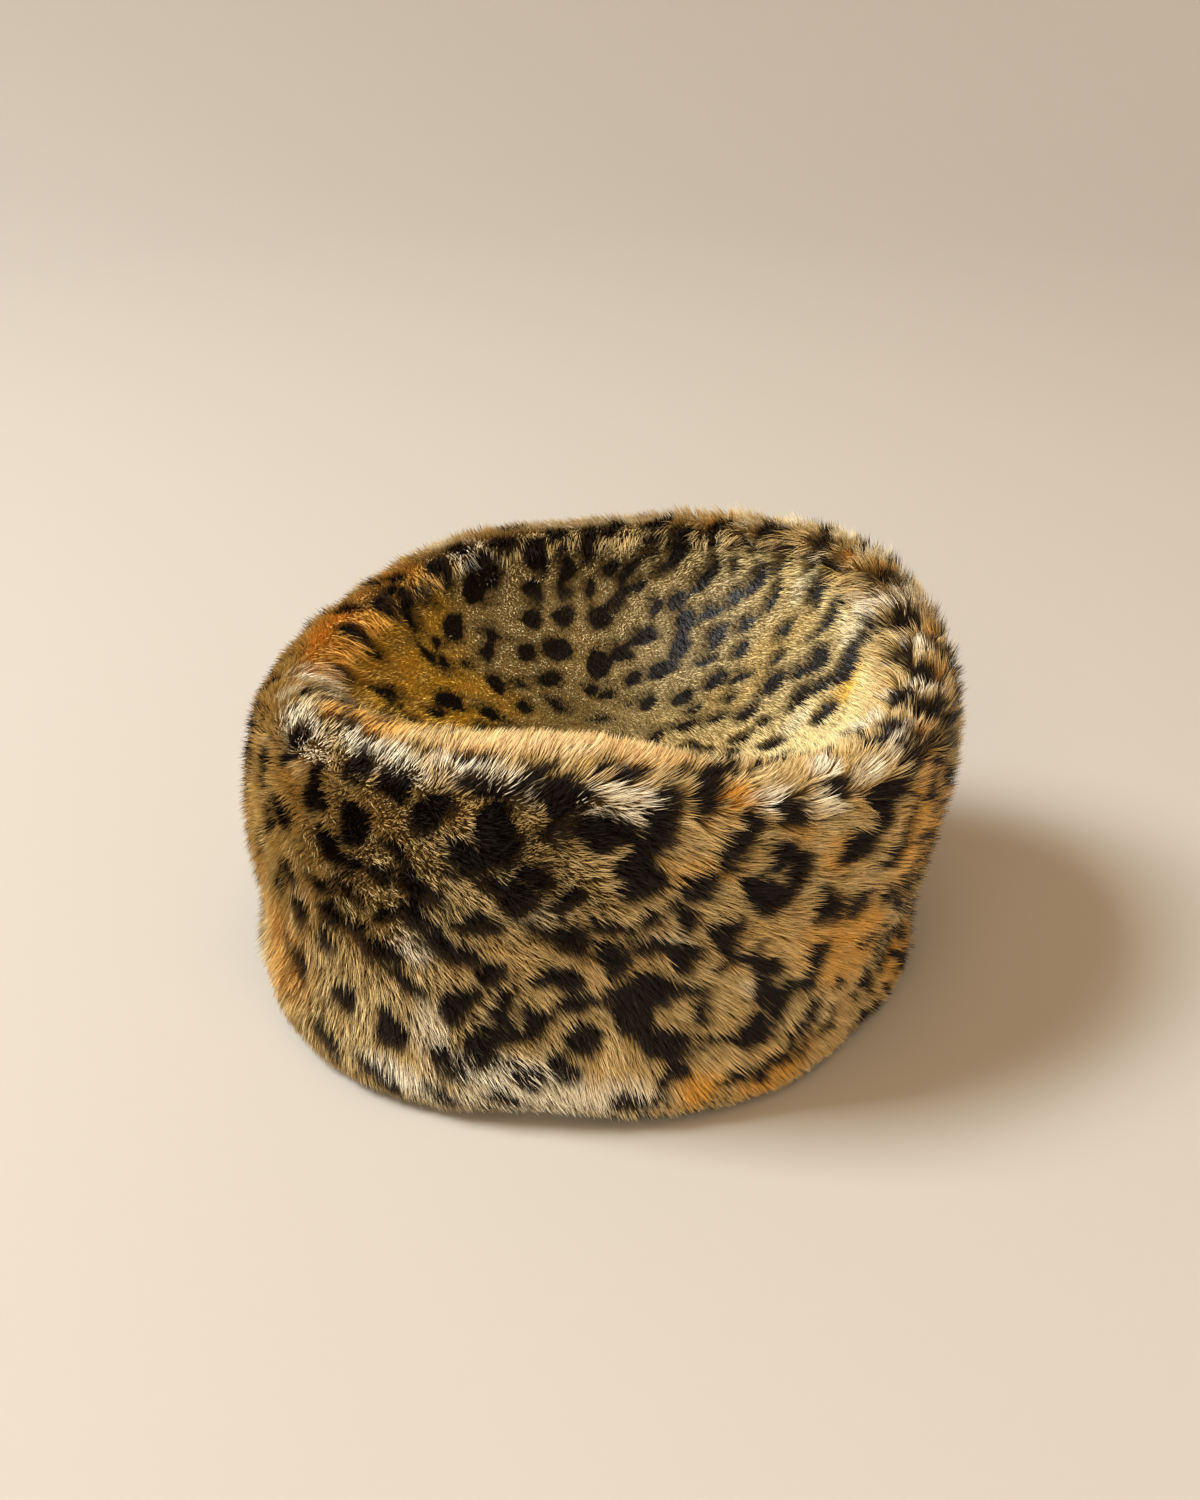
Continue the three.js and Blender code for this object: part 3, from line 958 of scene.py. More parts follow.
@dataclass
class FurGrower:
    """Grows strands on a skin by Geometry Nodes, each one a bent and tapered blade."""

    lengths: Span = (0.72, 1.12)  # least and most, as shares of the style's value
    leans: Span = (0.75, 1.2)
    stands: Span = (0.8, 1.15)
    widths: Span = (0.7, 1.3)
    twist: float = 0.9  # how far a blade turns on edge, to either side
    bow: float = 1.7  # power by which a strand leans more towards its tip
    rise: float = 0.25  # how much steeper it starts than it ends
    lowest: float = 0.25 * MM  # over the surface that the hat stands on
    map_margin: float = 0.1  # round each strand's cell in the UV map, as a share of the cell
    seeds_apart: float = 17.0  # from one draw's seed to the next one's
    weld: float = 0.001  # points of a blade, one unit long, that are closer than this are one

    def __post_init__(self) -> None:
        """Builds the tree once."""
        tree = bpy.data.node_groups.new("fur_pile", "GeometryNodeTree")
        face = tree.interface
        face.new_socket("Skin", in_out="INPUT", socket_type="NodeSocketGeometry")
        for name in ("Density", "Length", "Width", "Lean", "Stand", "Clump", "Tuft", "Stray", "Ruffle"):
            face.new_socket(name, in_out="INPUT", socket_type="NodeSocketFloat")
        face.new_socket("Seed", in_out="INPUT", socket_type="NodeSocketInt")
        face.new_socket("Finish", in_out="INPUT", socket_type="NodeSocketMaterial")
        face.new_socket("Fur", in_out="OUTPUT", socket_type="NodeSocketGeometry")
        graph = NodeWriter(tree)
        given = graph.node("NodeGroupInput").outputs
        planted = self._planted(graph, given)
        fur = self._bent(graph, graph.node("GeometryNodeRealizeInstances", {0: planted}).outputs[0])
        for name in ("bend", "rise", "side", "comb", "thick", "root"):
            fur = graph.node("GeometryNodeRemoveAttribute", {"Geometry": fur, "Name": name}).outputs[0]
        dressed = graph.node("GeometryNodeSetMaterial", {"Geometry": fur, "Material": given["Finish"]})
        graph.node("NodeGroupOutput", {0: dressed.outputs[0]})
        self.tree = tree

    def _planted(self, graph: NodeWriter, given: bpy.types.NodeOutputs) -> Socket:
        """Straight blades on the skin, each with its own bend, rise and side stored on it.

        Args:
            graph: writes the tree.
            given: the tree's inputs.

        Returns:
            The instances.
        """
        points = graph.node(
            "GeometryNodeDistributePointsOnFaces",
            {"Mesh": given["Skin"], "Density": given["Density"], "Seed": given["Seed"]},
        ).outputs["Points"]
        place = graph.node("GeometryNodeInputPosition").outputs[0]
        longer, bent, raised, turned, wider = (self._chance(graph, given["Seed"], draw) for draw in range(5))
        combed, away, thick = graph.named("comb"), graph.named("away"), graph.named("thick", "FLOAT")
        per_tuft = graph.math("DIVIDE", 1.0, given["Tuft"])
        cells = {"Vector": place, "Scale": per_tuft, "Randomness": 1.0}
        tuft = graph.node("ShaderNodeTexVoronoi", cells).outputs
        to_middle = graph.vector("SUBTRACT", tuft["Position"], place)
        tuft_way = graph.vector("SUBTRACT", tuft["Color"], (0.5, 0.5, 0.5))
        stray = graph.node(
            "FunctionNodeRandomValue", {0: (-1, -1, -1), 1: (1, 1, 1), "Seed": given["Seed"]},
            data_type="FLOAT_VECTOR",
        ).outputs[0]
        length = graph.product(given["Length"], graph.product(thick, graph.between(longer, *self.lengths)))
        leaning = graph.total(
            graph.scaled(combed, graph.product(given["Lean"], graph.between(bent, *self.leans))),
            graph.scaled(tuft_way, given["Ruffle"]),
            graph.scaled(stray, given["Stray"]),
        )
        bend = graph.total(graph.scaled(leaning, length), graph.scaled(to_middle, given["Clump"]))
        bend = graph.vector("SUBTRACT", bend, graph.scaled(away, graph.dot(bend, away)))
        stand = graph.product(given["Stand"], graph.between(raised, *self.stands))
        rise = graph.scaled(away, graph.product(length, stand))
        side = graph.vector("NORMALIZE", graph.vector("CROSS_PRODUCT", away, bend))
        side = graph.total(side, graph.scaled(away, graph.between(turned, -self.twist, self.twist)))
        width = graph.product(given["Width"], graph.between(wider, *self.widths))
        side = graph.scaled(graph.vector("NORMALIZE", side), width)
        grown = points
        for name, value in {"root": place, "bend": bend, "rise": rise, "side": side}.items():
            grown = graph.stored(grown, name, value)
        grown = graph.stored(grown, "hue", bent, "FLOAT")
        grown = graph.stored(grown, "tuft_hue", graph.parts(tuft["Color"])["X"], "FLOAT")
        blades = {"Points": grown, "Instance": self._blade(graph)}
        return graph.node("GeometryNodeInstanceOnPoints", blades).outputs[0]

    def _bent(self, graph: NodeWriter, real: Socket) -> Socket:
        """The blades bent to their own form.

        Args:
            graph: writes the tree.
            real: straight blades, with what is stored on them.

        Returns:
            The strands, with along and across on their points.
        """
        place = graph.node("GeometryNodeInputPosition").outputs[0]
        root = graph.named("root")
        local = graph.parts(graph.vector("SUBTRACT", place, root))
        along = local["Z"]
        steep = graph.product(along, 1 + self.rise)
        easing = graph.product(graph.math("POWER", along, 2.0), self.rise)
        lift = graph.math("SUBTRACT", steep, easing)
        spot = graph.total(
            root,
            graph.scaled(graph.named("bend"), graph.math("POWER", along, self.bow)),
            graph.scaled(graph.named("rise"), lift),
            graph.scaled(graph.named("side"), local["X"]),
        )
        real = graph.stored(real, "along", along, "FLOAT")
        real = graph.stored(real, "across", graph.math("ADD", local["X"], 0.5), "FLOAT")
        return graph.node("GeometryNodeSetPosition", {"Geometry": real, "Position": spot}).outputs[0]

    def _chance(self, graph: NodeWriter, seed: Socket, draw: int) -> Socket:
        """A random share for each strand, from the draw's own stream."""
        own_seed = graph.math("ADD", seed, self.seeds_apart * draw)
        return graph.node("FunctionNodeRandomValue", {"Seed": own_seed}, data_type="FLOAT").outputs[1]

    def _blade(self, graph: NodeWriter) -> Socket:
        """One blade: x runs across its width, z from root to tip, and its tip is closed to a point.

        Args:
            graph: writes the tree.

        Returns:
            The blade's mesh.
        """
        sheet = {"Size X": 1.0, "Size Y": 1.0, "Vertices X": 2, "Vertices Y": 3}
        grid = graph.node("GeometryNodeMeshGrid", sheet).outputs[0]
        place = graph.parts(graph.node("GeometryNodeInputPosition").outputs[0])
        along = graph.math("ADD", place["Y"], 0.5)
        taper = graph.math("SUBTRACT", 1.0, graph.math("POWER", along, 2.0))
        tapered = {"X": graph.product(place["X"], taper), "Z": along}
        shaped = graph.node("ShaderNodeCombineXYZ", tapered).outputs[0]
        moved = graph.node("GeometryNodeSetPosition", {"Geometry": grid, "Position": shaped}).outputs[0]
        closed = {"Geometry": moved, "Distance": self.weld}
        return graph.node("GeometryNodeMergeByDistance", closed).outputs[0]

    def grow(
        self, name: str, skin: bpy.types.Mesh, style: PileStyle, finish: bpy.types.Material,
    ) -> bpy.types.Object:
        """Grows one pile.

        Args:
            name: the piece's name.
            skin: the mesh it grows on, with its comb, away and thick attributes.
            style: how it grows.
            finish: its material.

        Returns:
            A plain mesh object of all the strands.
        """
        carrier = place_object(name + "_skin", skin)
        modifier = carrier.modifiers.new("Pile", "NODES")
        modifier.node_group = self.tree
        values = {
            "Density": style.density / (MM * MM), "Length": style.length * MM, "Width": style.width * MM,
            "Lean": style.lean, "Stand": style.stand, "Clump": style.clump, "Tuft": style.tuft * MM,
            "Stray": style.stray, "Ruffle": style.ruffle, "Seed": style.seed, "Finish": finish,
        }
        for item in self.tree.interface.items_tree:
            if item.in_out == "INPUT" and item.name in values:
                modifier[item.identifier] = values[item.name]
        evaluated = carrier.evaluated_get(bpy.context.evaluated_depsgraph_get())
        mesh = bpy.data.meshes.new_from_object(evaluated)
        bpy.data.objects.remove(carrier)
        mesh.name = name
        self._settle(mesh)
        self._add_strand_map(mesh)
        return place_object(name, mesh)

    def _settle(self, mesh: bpy.types.Mesh) -> None:
        """Lets no strand reach under the surface that the hat stands on.

        Args:
            mesh: the strands.
        """
        spots = np.empty(len(mesh.vertices) * 3, np.float32)
        mesh.vertices.foreach_get("co", spots)
        spots[2::3] = np.maximum(spots[2::3], self.lowest)
        mesh.vertices.foreach_set("co", spots)

    def _add_strand_map(self, mesh: bpy.types.Mesh) -> None:
        """Gives each strand a small cell of its own in a UV map.

        Args:
            mesh: the strands, with along and across on their points.
        """
        corners = np.empty(len(mesh.loops), np.int32)
        mesh.loops.foreach_get("vertex_index", corners)
        strand = corners // BLADE_VERTICES
        per_side = math.ceil(math.sqrt(strand.max() + 1))
        fill = 1 - 2 * self.map_margin
        cells = []
        for name, cell in (("across", strand % per_side), ("along", strand // per_side)):
            shares = np.empty(len(mesh.vertices), np.float32)
            mesh.attributes[name].data.foreach_get("value", shares)
            cells.append((cell + self.map_margin + fill * shares[corners]) / per_side)
        layer = mesh.uv_layers.new(name="OFBake")
        layer.data.foreach_set("uv", np.stack(cells, 1).astype(np.float32).ravel())
        mesh.attributes.remove(mesh.attributes["across"])


@dataclass(frozen=True)
class PeltColouring:
    """How a strand's colour runs from its root to its tip, and how the print changes it."""

    root_gives_way: Span = (0.0, 0.55)  # shares of a strand's length; the darker root is partly the fur's own, partly painted shade between the strands
    # The pale ends are partly the fur's own paler tips, partly painted highlight on the tips.
    ends_begin: Span = (0.35, 1.0)
    ends_strength: Span = (0.2, 1.0)  # from one tuft to another
    ginger_strength: Span = (0.8, 1.0)  # from root to tip
    cream_begins: Span = (0.1, 0.8)
    hue_strays: Span = (-0.7, 0.7)  # mm by which single strands keep or miss a mark's colour
    mark_edge: Span = (-0.4, 0.5)  # mm over which a mark ends
    pale_hairs_and_glints: Span = (0.86, 0.90)  # the strands, by their hue, that stay pale in a mark under cream: partly pale hairs, partly painted glints of light on the dark marks
    pale_where: Span = (0.4, 0.9)  # how creamy the pile is there
    pale_strength: float = 0.8
    shade: Span = (0.55, 1.40)  # brightness, from one strand to another
    dark_gloss: float = -0.12  # change of roughness in a mark

    def group(self) -> bpy.types.NodeTree:
        """The node group that colours a pelt from its print.

        Returns:
            The group, with outputs Color, Roughness and Normal.
        """
        tree = bpy.data.node_groups.new("pelt", "ShaderNodeTree")
        sockets = [(name, "INPUT", "Color") for name in ("Root", "Ground", "Ends", "Ginger", "Cream", "Dark")]
        sockets += [(name, "INPUT", "Float") for name in ("Roughness", "Softness")]
        results = (("Color", "Color"), ("Roughness", "Float"), ("Normal", "Vector"))
        sockets += [(name, "OUTPUT", kind) for name, kind in results]
        for name, way, kind in sockets:
            tree.interface.new_socket(name, in_out=way, socket_type="NodeSocket" + kind)
        graph = NodeWriter(tree)
        given = graph.node("NodeGroupInput").outputs
        spot, ginger, cream, hue, tuft_hue, along = (
            graph.node("ShaderNodeAttribute", attribute_name=name).outputs["Fac"]
            for name in (*PRINT_FIELDS, "hue", "tuft_hue", "along")
        )
        away = graph.node("ShaderNodeAttribute", attribute_name="away").outputs["Vector"]
        # Darker at the root: partly the fur's own base, partly painted shade between the strands. The
        # undercoat, which has no along, is coloured as a root.
        ground = graph.mixed(graph.step(along, self.root_gives_way), given["Root"], given["Ground"])
        # Paler at the tip: partly the fur's own, partly painted highlight.
        by_tuft = graph.between(tuft_hue, *self.ends_strength)
        pale_and_highlit_ends = graph.product(graph.step(along, self.ends_begin), by_tuft)
        ground = graph.mixed(pale_and_highlit_ends, ground, given["Ends"])
        warm = graph.product(ginger, graph.between(along, *self.ginger_strength))
        ground = graph.mixed(warm, ground, given["Ginger"])
        pale = graph.math("MULTIPLY", cream, graph.step(along, self.cream_begins), clamp=True)
        ground = graph.mixed(pale, ground, given["Cream"])
        marked = graph.step(graph.math("ADD", spot, graph.between(hue, *self.hue_strays)), self.mark_edge)
        # Pale strands in the dark marks under cream: partly pale hairs, partly painted glints of light.
        under_cream = graph.step(cream, self.pale_where, (0.0, self.pale_strength))
        kept_pale_and_glinting = graph.product(graph.step(hue, self.pale_hairs_and_glints), under_cream)
        marked = graph.product(marked, graph.math("SUBTRACT", 1.0, kept_pale_and_glinting))
        shade = graph.between(hue, *self.shade)
        toned = graph.node("ShaderNodeHueSaturation", {"Color": ground, "Value": shade}).outputs[0]
        own = graph.node("ShaderNodeNewGeometry").outputs["Normal"]
        normals = {0: given["Softness"], 4: own, 5: away}
        blend = graph.node("ShaderNodeMix", normals, data_type="VECTOR").outputs[1]
        coloured = {
            "Color": graph.mixed(marked, toned, given["Dark"]),
            "Roughness": graph.math("MULTIPLY_ADD", marked, self.dark_gloss, given["Roughness"]),
            "Normal": graph.vector("NORMALIZE", blend),
        }
        graph.node("NodeGroupOutput", coloured)
        return tree


@dataclass(frozen=True)
class PileFinish:
    """The look of one pile, and of the undercoat below it."""

    name: str
    slot: str
    # partly painted shade between the strands
    root: Colour
    ground: Colour
    # partly painted highlight on the tips
    ends: Colour
    ginger: Colour
    cream: Colour
    dark: Colour
    soft: float  # share of the surface's own normal in a strand's shading
    roughness: float
    sheen: float
    sheen_roughness: float = 0.5
    specular: float = 0.2

    def material(self, pelt: bpy.types.NodeTree) -> bpy.types.Material:
        """The finish as a material.

        Args:
            pelt: the node group that colours a pelt.

        Returns:
            The material.
        """
        made, graph = blank_material(self.name)
        colours = {
            "Root": self.root, "Ground": self.ground, "Ends": self.ends,
            "Ginger": self.ginger, "Cream": self.cream, "Dark": self.dark,
        }
        inputs: dict = {name: (*colour, 1.0) for name, colour in colours.items()}
        inputs |= {"Roughness": self.roughness, "Softness": self.soft}
        look = graph.node("ShaderNodeGroup", inputs, node_tree=pelt).outputs
        graph.surface({
            "Base Color": look["Color"], "Roughness": look["Roughness"], "Normal": look["Normal"],
            "Sheen Weight": self.sheen, "Sheen Roughness": self.sheen_roughness,
            "Specular IOR Level": self.specular,
        })
        return made


LONG_PILE = PileFinish(
    name="long_pile", slot="long_fur", root=(0.11, 0.065, 0.022), ground=(0.52, 0.36, 0.125),
    ends=(0.95, 0.77, 0.42), ginger=(0.86, 0.45, 0.07), cream=(1.0, 0.95, 0.78),
    dark=(0.009, 0.005, 0.003), soft=0.36, roughness=0.42, sheen=0.03,
)
# Brighter than the long pile: partly the short pile's own colours, partly painted light, raised so that the
# sunk crown, which the lamps reach less, looks well lit.
SHORT_PILE = PileFinish(
    name="short_pile", slot="short_fur", root=(0.44, 0.31, 0.11), ground=(0.83, 0.67, 0.30),
    ends=(0.98, 0.82, 0.46), ginger=(1.0, 0.60, 0.05), cream=(1.0, 0.93, 0.68),
    dark=(0.010, 0.006, 0.003), soft=0.6, roughness=0.5, sheen=0.04,
)


@dataclass(frozen=True)
class KnitFinish:
    """The fine knitted backing of the fur cloth."""

    name: str = "knitted_backing"
    colour: Colour = (0.30, 0.21, 0.12)
    shadow: Colour = (0.16, 0.10, 0.05)
    shadow_share: Span = (0.1, 0.6)  # least and most
    stitch: float = 1.1  # mm
    waves_per_stitch: float = 0.32
    waver: float = 2.0
    grain: float = 900.0  # lumps in a metre
    grain_detail: float = 2.0
    bump: float = 0.6
    relief: float = 0.4 * MM
    roughness: float = 0.9
    sheen: float = 0.2

    def material(self) -> bpy.types.Material:
        """The finish as a material.

        Returns:
            The material.
        """
        made, graph = blank_material(self.name)
        place = graph.node("ShaderNodeTexCoord").outputs["Object"]
        scale = self.waves_per_stitch / (self.stitch * MM)
        courses = {"Vector": place, "Scale": scale, "Distortion": self.waver}
        waves = graph.node("ShaderNodeTexWave", courses, bands_direction="DIAGONAL").outputs["Fac"]
        lumps = {"Vector": place, "Scale": self.grain, "Detail": self.grain_detail}
        grain = graph.node("ShaderNodeTexNoise", lumps).outputs["Fac"]
        tone = graph.mixed(graph.between(grain, *self.shadow_share), (*self.colour, 1), (*self.shadow, 1))
        relief = {"Strength": self.bump, "Distance": self.relief, "Height": graph.math("ADD", waves, grain)}
        normal = graph.node("ShaderNodeBump", relief).outputs[0]
        graph.surface({
            "Base Color": tone, "Roughness": self.roughness, "Normal": normal, "Sheen Weight": self.sheen,
        })
        return made


def give_field(mesh: bpy.types.Mesh, name: str, values: Array) -> None:
    """Stores one value or vector a vertex on a mesh.

    Args:
        mesh: the mesh.
        name: the attribute's name.
        values: one value or one row of three for each vertex.
    """
    kind, slot = ("FLOAT_VECTOR", "vector") if values.ndim == 2 else ("FLOAT", "value")
    mesh.attributes.new(name, kind, "POINT").data.foreach_set(slot, values.astype(np.float32).ravel())


def quads_of(index: Array) -> Array:
    """The faces between a grid's points.

    Args:
        index: the grid, as the points' numbers.

    Returns:
        Rows of four numbers.
    """
    corners = (index[:-1, :-1], index[:-1, 1:], index[1:, 1:], index[1:, :-1])
    return np.stack(corners, -1).reshape(-1, 4)


@dataclass
class FurPart:
    """One part of the hat: its cloth, and the pile that grows from it."""

    name: str
    face: FurFace
    node: str
    pole: bool = False  # True where the grid closes in a middle
    backing: float = 1.8 * MM
    coarser: int = 2  # grid points to each of the cloth's own

    def skin(self, rows: slice, columns: slice | None, comb: Array, thick: Array) -> bpy.types.Mesh:
        """The stretch of skin that one pile grows on.

        Args:
            rows: which of the grid's rows.
            columns: which of its columns, or None for all the way round.
            comb: unit vectors along which the pile lies, for the whole grid.
            thick: how long the pile is, as a share, for the whole grid.

        Returns:
            A mesh that carries the print, comb, away and thick.
        """
        row_count, count = self.face.skin.shape[:2]
        columns = columns or slice(0, count + 1)
        pick = np.ix_(np.arange(*rows.indices(row_count)), np.arange(columns.start, columns.stop) % count)
        spots = self.face.skin[pick]
        tall, wide = spots.shape[:2]
        quads = quads_of(np.arange(tall * wide).reshape(tall, wide))
        mesh = bpy.data.meshes.new(self.name + "_skin")
        mesh.from_pydata(spots.reshape(-1, 3).tolist(), [], quads.tolist())
        give_field(mesh, "comb", comb[pick].reshape(-1, 3))
        give_field(mesh, "away", self.face.normal[pick].reshape(-1, 3))
        give_field(mesh, "thick", thick[pick].ravel())
        for name in PRINT_FIELDS:
            give_field(mesh, name, self.face.fields[name][pick].ravel())
        return mesh

    def _shell(self, tall: int, wide: int) -> tuple[list[list[int]], int]:
        """The faces of a closed shell: the grid's front, its back, and what joins them at both edges.

        Args:
            tall: rows of the grid.
            wide: its columns, looped.

        Returns:
            The faces, by their points' numbers, and how many of them the front has. The back's points
            follow the front's, and the two middles of a pole come last.
        """
        shift = tall * wide
        index = np.arange(shift).reshape(tall, wide)
        index = np.concatenate([index, index[:, :1]], axis=1)
        outside = quads_of(index)
        faces = outside.tolist() + (outside[:, ::-1] + shift).tolist()
        first, last = ([*zip(row[:-1].tolist(), row[1:].tolist())] for row in (index[0], index[-1]))
        faces += [[b, a, a + shift, b + shift] for a, b in first]
        if self.pole:
            top, under = 2 * shift, 2 * shift + 1
            for a, b in last:
                faces += [[a, b, top], [b + shift, a + shift, under]]
        else:
            faces += [[a, b, b + shift, a + shift] for a, b in last]
        return faces, len(outside)

    def cloth(self, undercoat: bpy.types.Material, knit: bpy.types.Material) -> bpy.types.Object:
        """The fur cloth's skin: a closed shell, with the undercoat on its face and the knit on its back.

        Args:
            undercoat: the face's material.
            knit: the back's material.

        Returns:
            The cloth.
        """
        row_count, count = self.face.skin.shape[:2]
        rows = np.unique(np.append(np.arange(0, row_count, self.coarser), row_count - 1))
        pick = np.ix_(rows, np.arange(0, count, self.coarser))
        front, normal = self.face.skin[pick], self.face.normal[pick]
        back = front - normal * self.backing
        spots = np.concatenate([front.reshape(-1, 3), back.reshape(-1, 3)])
        away = np.concatenate([normal.reshape(-1, 3), -normal.reshape(-1, 3)])
        fields = {name: np.tile(self.face.fields[name][pick].ravel(), 2) for name in PRINT_FIELDS}
        if self.pole:
            spots = np.concatenate([spots, [front[-1].mean(0), back[-1].mean(0)]])
            away = np.concatenate([away, [normal[-1].mean(0), -normal[-1].mean(0)]])
            fields = {name: np.append(values, [values[-1], values[-1]]) for name, values in fields.items()}
        faces, front_count = self._shell(*front.shape[:2])
        mesh = bpy.data.meshes.new(self.name + "_cloth")
        mesh.from_pydata(spots.tolist(), [], faces)
        mesh.materials.append(undercoat)
        mesh.materials.append(knit)
        finish = np.zeros(len(faces), np.int32)
        finish[front_count : 2 * front_count] = 1
        mesh.polygons.foreach_set("material_index", finish)
        mesh.shade_smooth()
        give_field(mesh, "away", away)
        for name, values in fields.items():
            give_field(mesh, name, values)
        return place_object(self.name + "_cloth", mesh)


class Lay(NamedTuple):
    """Which way the pile lies at one height of the band."""

    height: float  # mm up the cloth, and below zero on the hem
    angle: float  # degrees up from the way round


class Trim(NamedTuple):
    """How long the pile is at one height of the hem."""

    height: float  # mm up the cloth
    share: float  # of its full length


class Stretch(NamedTuple):
    """One piece of the band's pile."""

    name: str
    zone: Zone
    rows: tuple[int, int]  # first and last row of the grid
    turns: tuple[int, int] | None = None  # degrees, or None for all the way round


@dataclass
class SideBand:
    """The deep band of long pile, turned up inside at the hem and rolled in at the rim."""

    face: FurFace
    printed: PeltPrint
    lays: tuple[Lay, ...] = (
        Lay(-30, 80), Lay(-8, 30), Lay(8, -52), Lay(28, -44), Lay(45, -22), Lay(62, -4),
        Lay(84, 12), Lay(102, 34), Lay(118, 55), Lay(132, 78), Lay(150, 85),
    )
    swirls: tuple[Wander, ...] = (Wander(12, 26, 51), Wander(6, 9, 52))  # degrees
    reach: float = 2.6  # mm from where a strand grows to where most of it shows
    top_starts: float = 10.0  # mm past the shoulder, where the top's chart takes over from the wall's
    trims: tuple[Trim, ...] = (Trim(-25, 0.5), Trim(-8, 0.42), Trim(0, 0.36), Trim(6, 0.6), Trim(14, 1.0))
    unevenness: Wander = Wander(0.08, 9, 53)
    behind_starts: Span = (-50, 20)  # mm behind the middle, where the front's crest becomes the back's
    front_trim: float = 0.25  # how much shorter the pile is on the front's crest
    front_crest: Span = (8, 24)  # mm past the shoulder
    back_trim: float = 0.12
    back_crest: Span = (8, 16)
    back_crest_ends: Span = (24, 29)
    seam_growth: float = 0.4  # how much longer it is where it hides the seam
    seam: Span = (25, 32)
    foot_front: int = HatForm.hem_rows + 4  # the grid's row where the hem's pile meets the wall's
    shoulder: int = HatForm.hem_rows + HatForm.foot_rows + HatForm.wall_rows - 1  # the wall's meets the rim's
    inner_end: int = shoulder + HatForm.roll_rows  # the grid's last row

    def __post_init__(self) -> None:
        """Prints the pelt and combs the pile."""
        height, turn = self.face.fields["height"], self.face.turn
        angle = np.interp(height, *zip(*self.lays))
        for swirl in self.swirls:
            angle = angle + swirl.over(turn * self.printed.per_degree, height)
        self.comb = self.face.lay(angle)
        shown_turn = turn + self.reach * np.cos(np.radians(angle)) / self.printed.per_degree
        side = self.printed.band(shown_turn % 360, height + self.reach * np.sin(np.radians(angle)))
        top = self.printed.top(*self.face.plan(self.comb, self.reach))
        first, last = self.printed.charted_turns
        on_top = np.where(
            (turn > first) & (turn < last),
            height > self.printed.charted_top,
            self.face.fields["past_shoulder"] > self.top_starts,
        )
        for name in PRINT_FIELDS:
            self.face.fields[name] = np.where(on_top, top[name], side[name])
        self.part = FurPart("band", self.face, "side_band")

    def _length_share(self) -> Array:
        """How long the pile is over the band.

        Returns:
            One share a point of the grid.
        """
        height, past = self.face.fields["height"], self.face.fields["past_shoulder"]
        share = np.interp(height, *zip(*self.trims))
        front = 1 - smoothstep(*self.behind_starts, self.face.outer[..., 1] / MM)
        share -= self.front_trim * front * smoothstep(*self.front_crest, past)
        back_crest = smoothstep(*self.back_crest, past) * (1 - smoothstep(*self.back_crest_ends, past))
        share -= self.back_trim * (1 - front) * back_crest
        share += self.seam_growth * (1 - front) * smoothstep(*self.seam, past)
        return share * (1 + self.unevenness.over(self.face.turn * self.printed.per_degree, height))

    def _stretches(self) -> tuple[Stretch, ...]:
        """The pieces of pile, each one small enough to be handled.

        Returns:
            What each piece covers.
        """
        wall, rim = (self.foot_front, self.shoulder), (self.shoulder, self.inner_end)
        return (
            Stretch("hem_fur", Zone.HEM, (0, self.foot_front)),
            Stretch("wall_fur_right", Zone.WALL, wall, (0, 120)),
            Stretch("wall_fur_left", Zone.WALL, wall, (120, 240)),
            Stretch("wall_fur_front", Zone.WALL, wall, (240, 360)),
            Stretch("rim_fur_back", Zone.CREST, rim, (75, 285)),
            Stretch("rim_fur_right", Zone.TUFTED_RIM, rim, (285, 435)),
        )

    def grow(self, grower: FurGrower, finish: bpy.types.Material) -> list[bpy.types.Object]:
        """The band's pile.

        Args:
            grower: grows strands.
            finish: the pile's material.

        Returns:
            The pieces: the hem's, three of the wall, and two of the rim.
        """
        thick = self._length_share()
        count = self.face.skin.shape[1]
        pieces = []
        for name, zone, (low, high), turns in self._stretches():
            columns = slice(turns[0] * count // 360, turns[1] * count // 360 + 1) if turns else None
            skin = self.part.skin(slice(low, high + 1), columns, self.comb, thick)
            pieces.append(grower.grow(name, skin, PILE_STYLES[zone], finish))
        return pieces


@dataclass
class CrownTip:
    """The sunk crown, in short pile."""

    face: FurFace
    printed: PeltPrint
    reach: float = 1.0  # mm from where a strand grows to where most of it shows
    combed: float = 70.0  # degrees from the way round towards the middle
    swirl: Wander = Wander(14, 20, 61)  # degrees
    unevenness: Wander = Wander(0.08, 8, 62)
    seam_growth: float = 1.1  # how much longer the pile is where it hides the seam
    seam_rows: Span = (2, 7)  # rows of the grid over which it gets short

    def __post_init__(self) -> None:
        """Prints the pelt and combs the pile."""
        x, y = self.face.plan(self.face.normal, 0.0)
        self.comb = self.face.lay(self.combed + self.swirl.over(x, y))
        self.face.fields.update(self.printed.top(*self.face.plan(self.comb, self.reach)))
        rows = np.arange(self.face.skin.shape[0])[:, None]
        at_seam = 1 - smoothstep(*self.seam_rows, rows)
        self.thick = 1 + self.unevenness.over(x, y) + self.seam_growth * at_seam
        self.part = FurPart("tip", self.face, "crown_tip", pole=True)

    def grow(self, grower: FurGrower, finish: bpy.types.Material) -> list[bpy.types.Object]:
        """The tip's pile."""
        skin = self.part.skin(slice(None), None, self.comb, self.thick)
        return [grower.grow("tip_fur", skin, PILE_STYLES[Zone.TIP], finish)]


class Lamp(NamedTuple):
    """A soft square lamp that faces the hat."""

    name: str
    place: Point  # metres
    size: float  # metres
    power: float  # watts
    colour: Colour


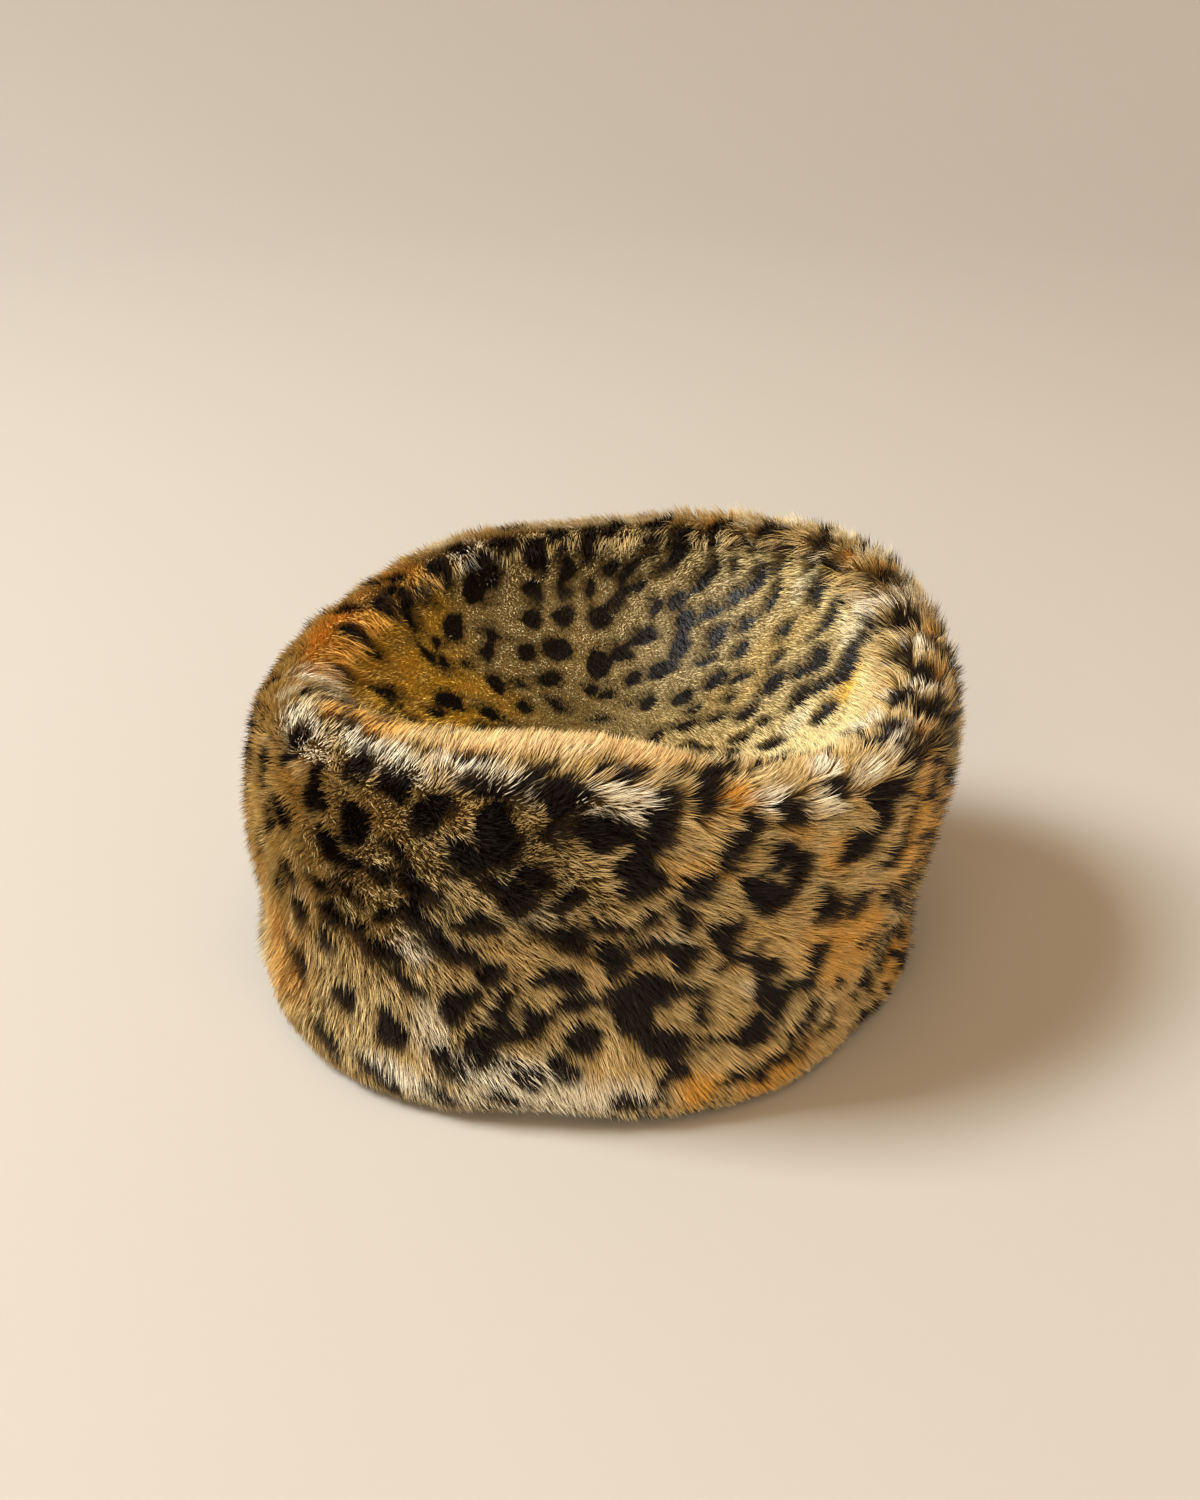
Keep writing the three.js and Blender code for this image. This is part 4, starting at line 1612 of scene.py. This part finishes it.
@dataclass
class Studio:
    """A pale floor that sweeps up behind, soft light from the left, and the camera."""

    eye: Point = (0.31 * MM, -477.45 * MM, 323.92 * MM)
    down: float = 28.0  # degrees under level
    lens: float = 42.775
    sensor: float = 36.0
    nearest: float = 10 * MM
    lamps: tuple[Lamp, ...] = (
        Lamp("key", (-1.50, -0.12, 1.98), 0.8, 76.0, (0.89, 0.92, 0.91)),
        Lamp("overhead", (0.20, -0.7, 2.6), 1.4, 15.0, (1.0, 0.69, 0.38)),
        Lamp("fill", (-0.6, -2.0, 1.1), 1.4, 16.0, (1.0, 0.76, 0.50)),
    )
    lit: Point = (0.0, 0.0, 0.05)  # metres, where the lamps point
    room_colour: Colour = (1.0, 0.50, 0.24)
    room_strength: float = 0.25
    floor_colour: Colour = (0.545, 0.52, 0.475)
    floor_roughness: float = 0.9
    flat: float = 1.1  # metres of level floor from the middle
    bend: float = 1.5  # metres, the radius by which it sweeps up
    tall: float = 2.9
    around: int = 96
    bend_rows: int = 14

    def build(self) -> None:
        """Sets up the camera, the backdrop, the lamps and the light of the room."""
        scene = bpy.context.scene
        scene.view_settings.view_transform = "Standard"
        scene.camera = self._camera()
        self._backdrop()
        for lamp in self.lamps:
            self._light(lamp)
        scene.world = bpy.data.worlds.new("soft_room")
        scene.world.use_nodes = True
        background = scene.world.node_tree.nodes["Background"]
        background.inputs["Color"].default_value = (*self.room_colour, 1)
        background.inputs["Strength"].default_value = self.room_strength

    def _camera(self) -> bpy.types.Object:
        """Places the camera.

        Returns:
            The camera.
        """
        data = bpy.data.cameras.new("camera")
        data.lens = self.lens
        data.sensor_width = self.sensor
        data.clip_start = self.nearest
        camera = place_object("camera", data)
        camera.location = self.eye
        camera.rotation_euler = (math.radians(90 - self.down), 0, 0)
        return camera

    def _light(self, lamp: Lamp) -> None:
        """Adds a lamp that faces the hat.

        Args:
            lamp: what it is.
        """
        data = bpy.data.lights.new(lamp.name, "AREA")
        data.size = lamp.size
        data.energy = lamp.power
        data.color = lamp.colour
        light = place_object(lamp.name, data)
        light.location = lamp.place
        light.rotation_euler = (Vector(self.lit) - Vector(lamp.place)).to_track_quat("-Z", "Y").to_euler()

    def _backdrop(self) -> None:
        """Adds the round floor, which sweeps up into a wall on all sides."""
        around, bend = self.around, self.bend
        profile = [(self.flat * share, 0.0) for share in (0.25, 0.5, 0.75)]
        for angle in np.linspace(0, math.pi / 2, self.bend_rows):
            profile.append((self.flat + bend * math.sin(angle), bend - bend * math.cos(angle)))
        profile.append((self.flat + bend, self.tall))
        spots = [(0.0, 0.0, 0.0)]
        for reach, z in profile:
            for angle in np.linspace(0, 2 * math.pi, around, endpoint=False):
                spots.append((reach * math.cos(angle), reach * math.sin(angle), z))
        faces = [(0, 1 + i, 1 + (i + 1) % around) for i in range(around)]
        rings = 1 + np.arange(len(profile) * around).reshape(-1, around)
        rings = np.concatenate([rings, rings[:, :1]], axis=1)
        faces += quads_of(rings)[:, [0, 3, 2, 1]].tolist()
        mesh = bpy.data.meshes.new("backdrop")
        mesh.from_pydata(spots, [], faces)
        mesh.shade_smooth()
        paper, graph = blank_material("pale_paper")
        graph.surface({"Base Color": (*self.floor_colour, 1), "Roughness": self.floor_roughness})
        mesh.materials.append(paper)
        floor = place_object("backdrop", mesh)


def main() -> None:
    """Dresses the hat: cloth, piles and studio."""
    logging.basicConfig(level=logging.INFO, format="%(message)s")
    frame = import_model()
    Studio().build()
    nodes = frame["nodes"]
    form = HatForm(nodes["side_band"], nodes["crown_tip"])
    printed = PeltPrint()
    pelt = PeltColouring().group()
    knit = KnitFinish().material()
    grower = FurGrower()
    parts = (
        (SideBand(form.band_face(), printed), LONG_PILE),
        (CrownTip(form.tip_face(), printed), SHORT_PILE),
    )
    for part, style in parts:
        finish = style.material(pelt)
        pieces = [part.part.cloth(finish, knit), *part.grow(grower, finish)]
        for piece in pieces:
            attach(piece, "root")
            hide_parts(part.part.node)
            triangles = sum(len(p.vertices) - 2 for p in piece.data.polygons)
            LOG.info("%s: %d triangles", piece.name, triangles)


if __name__ == "__main__":
    main()
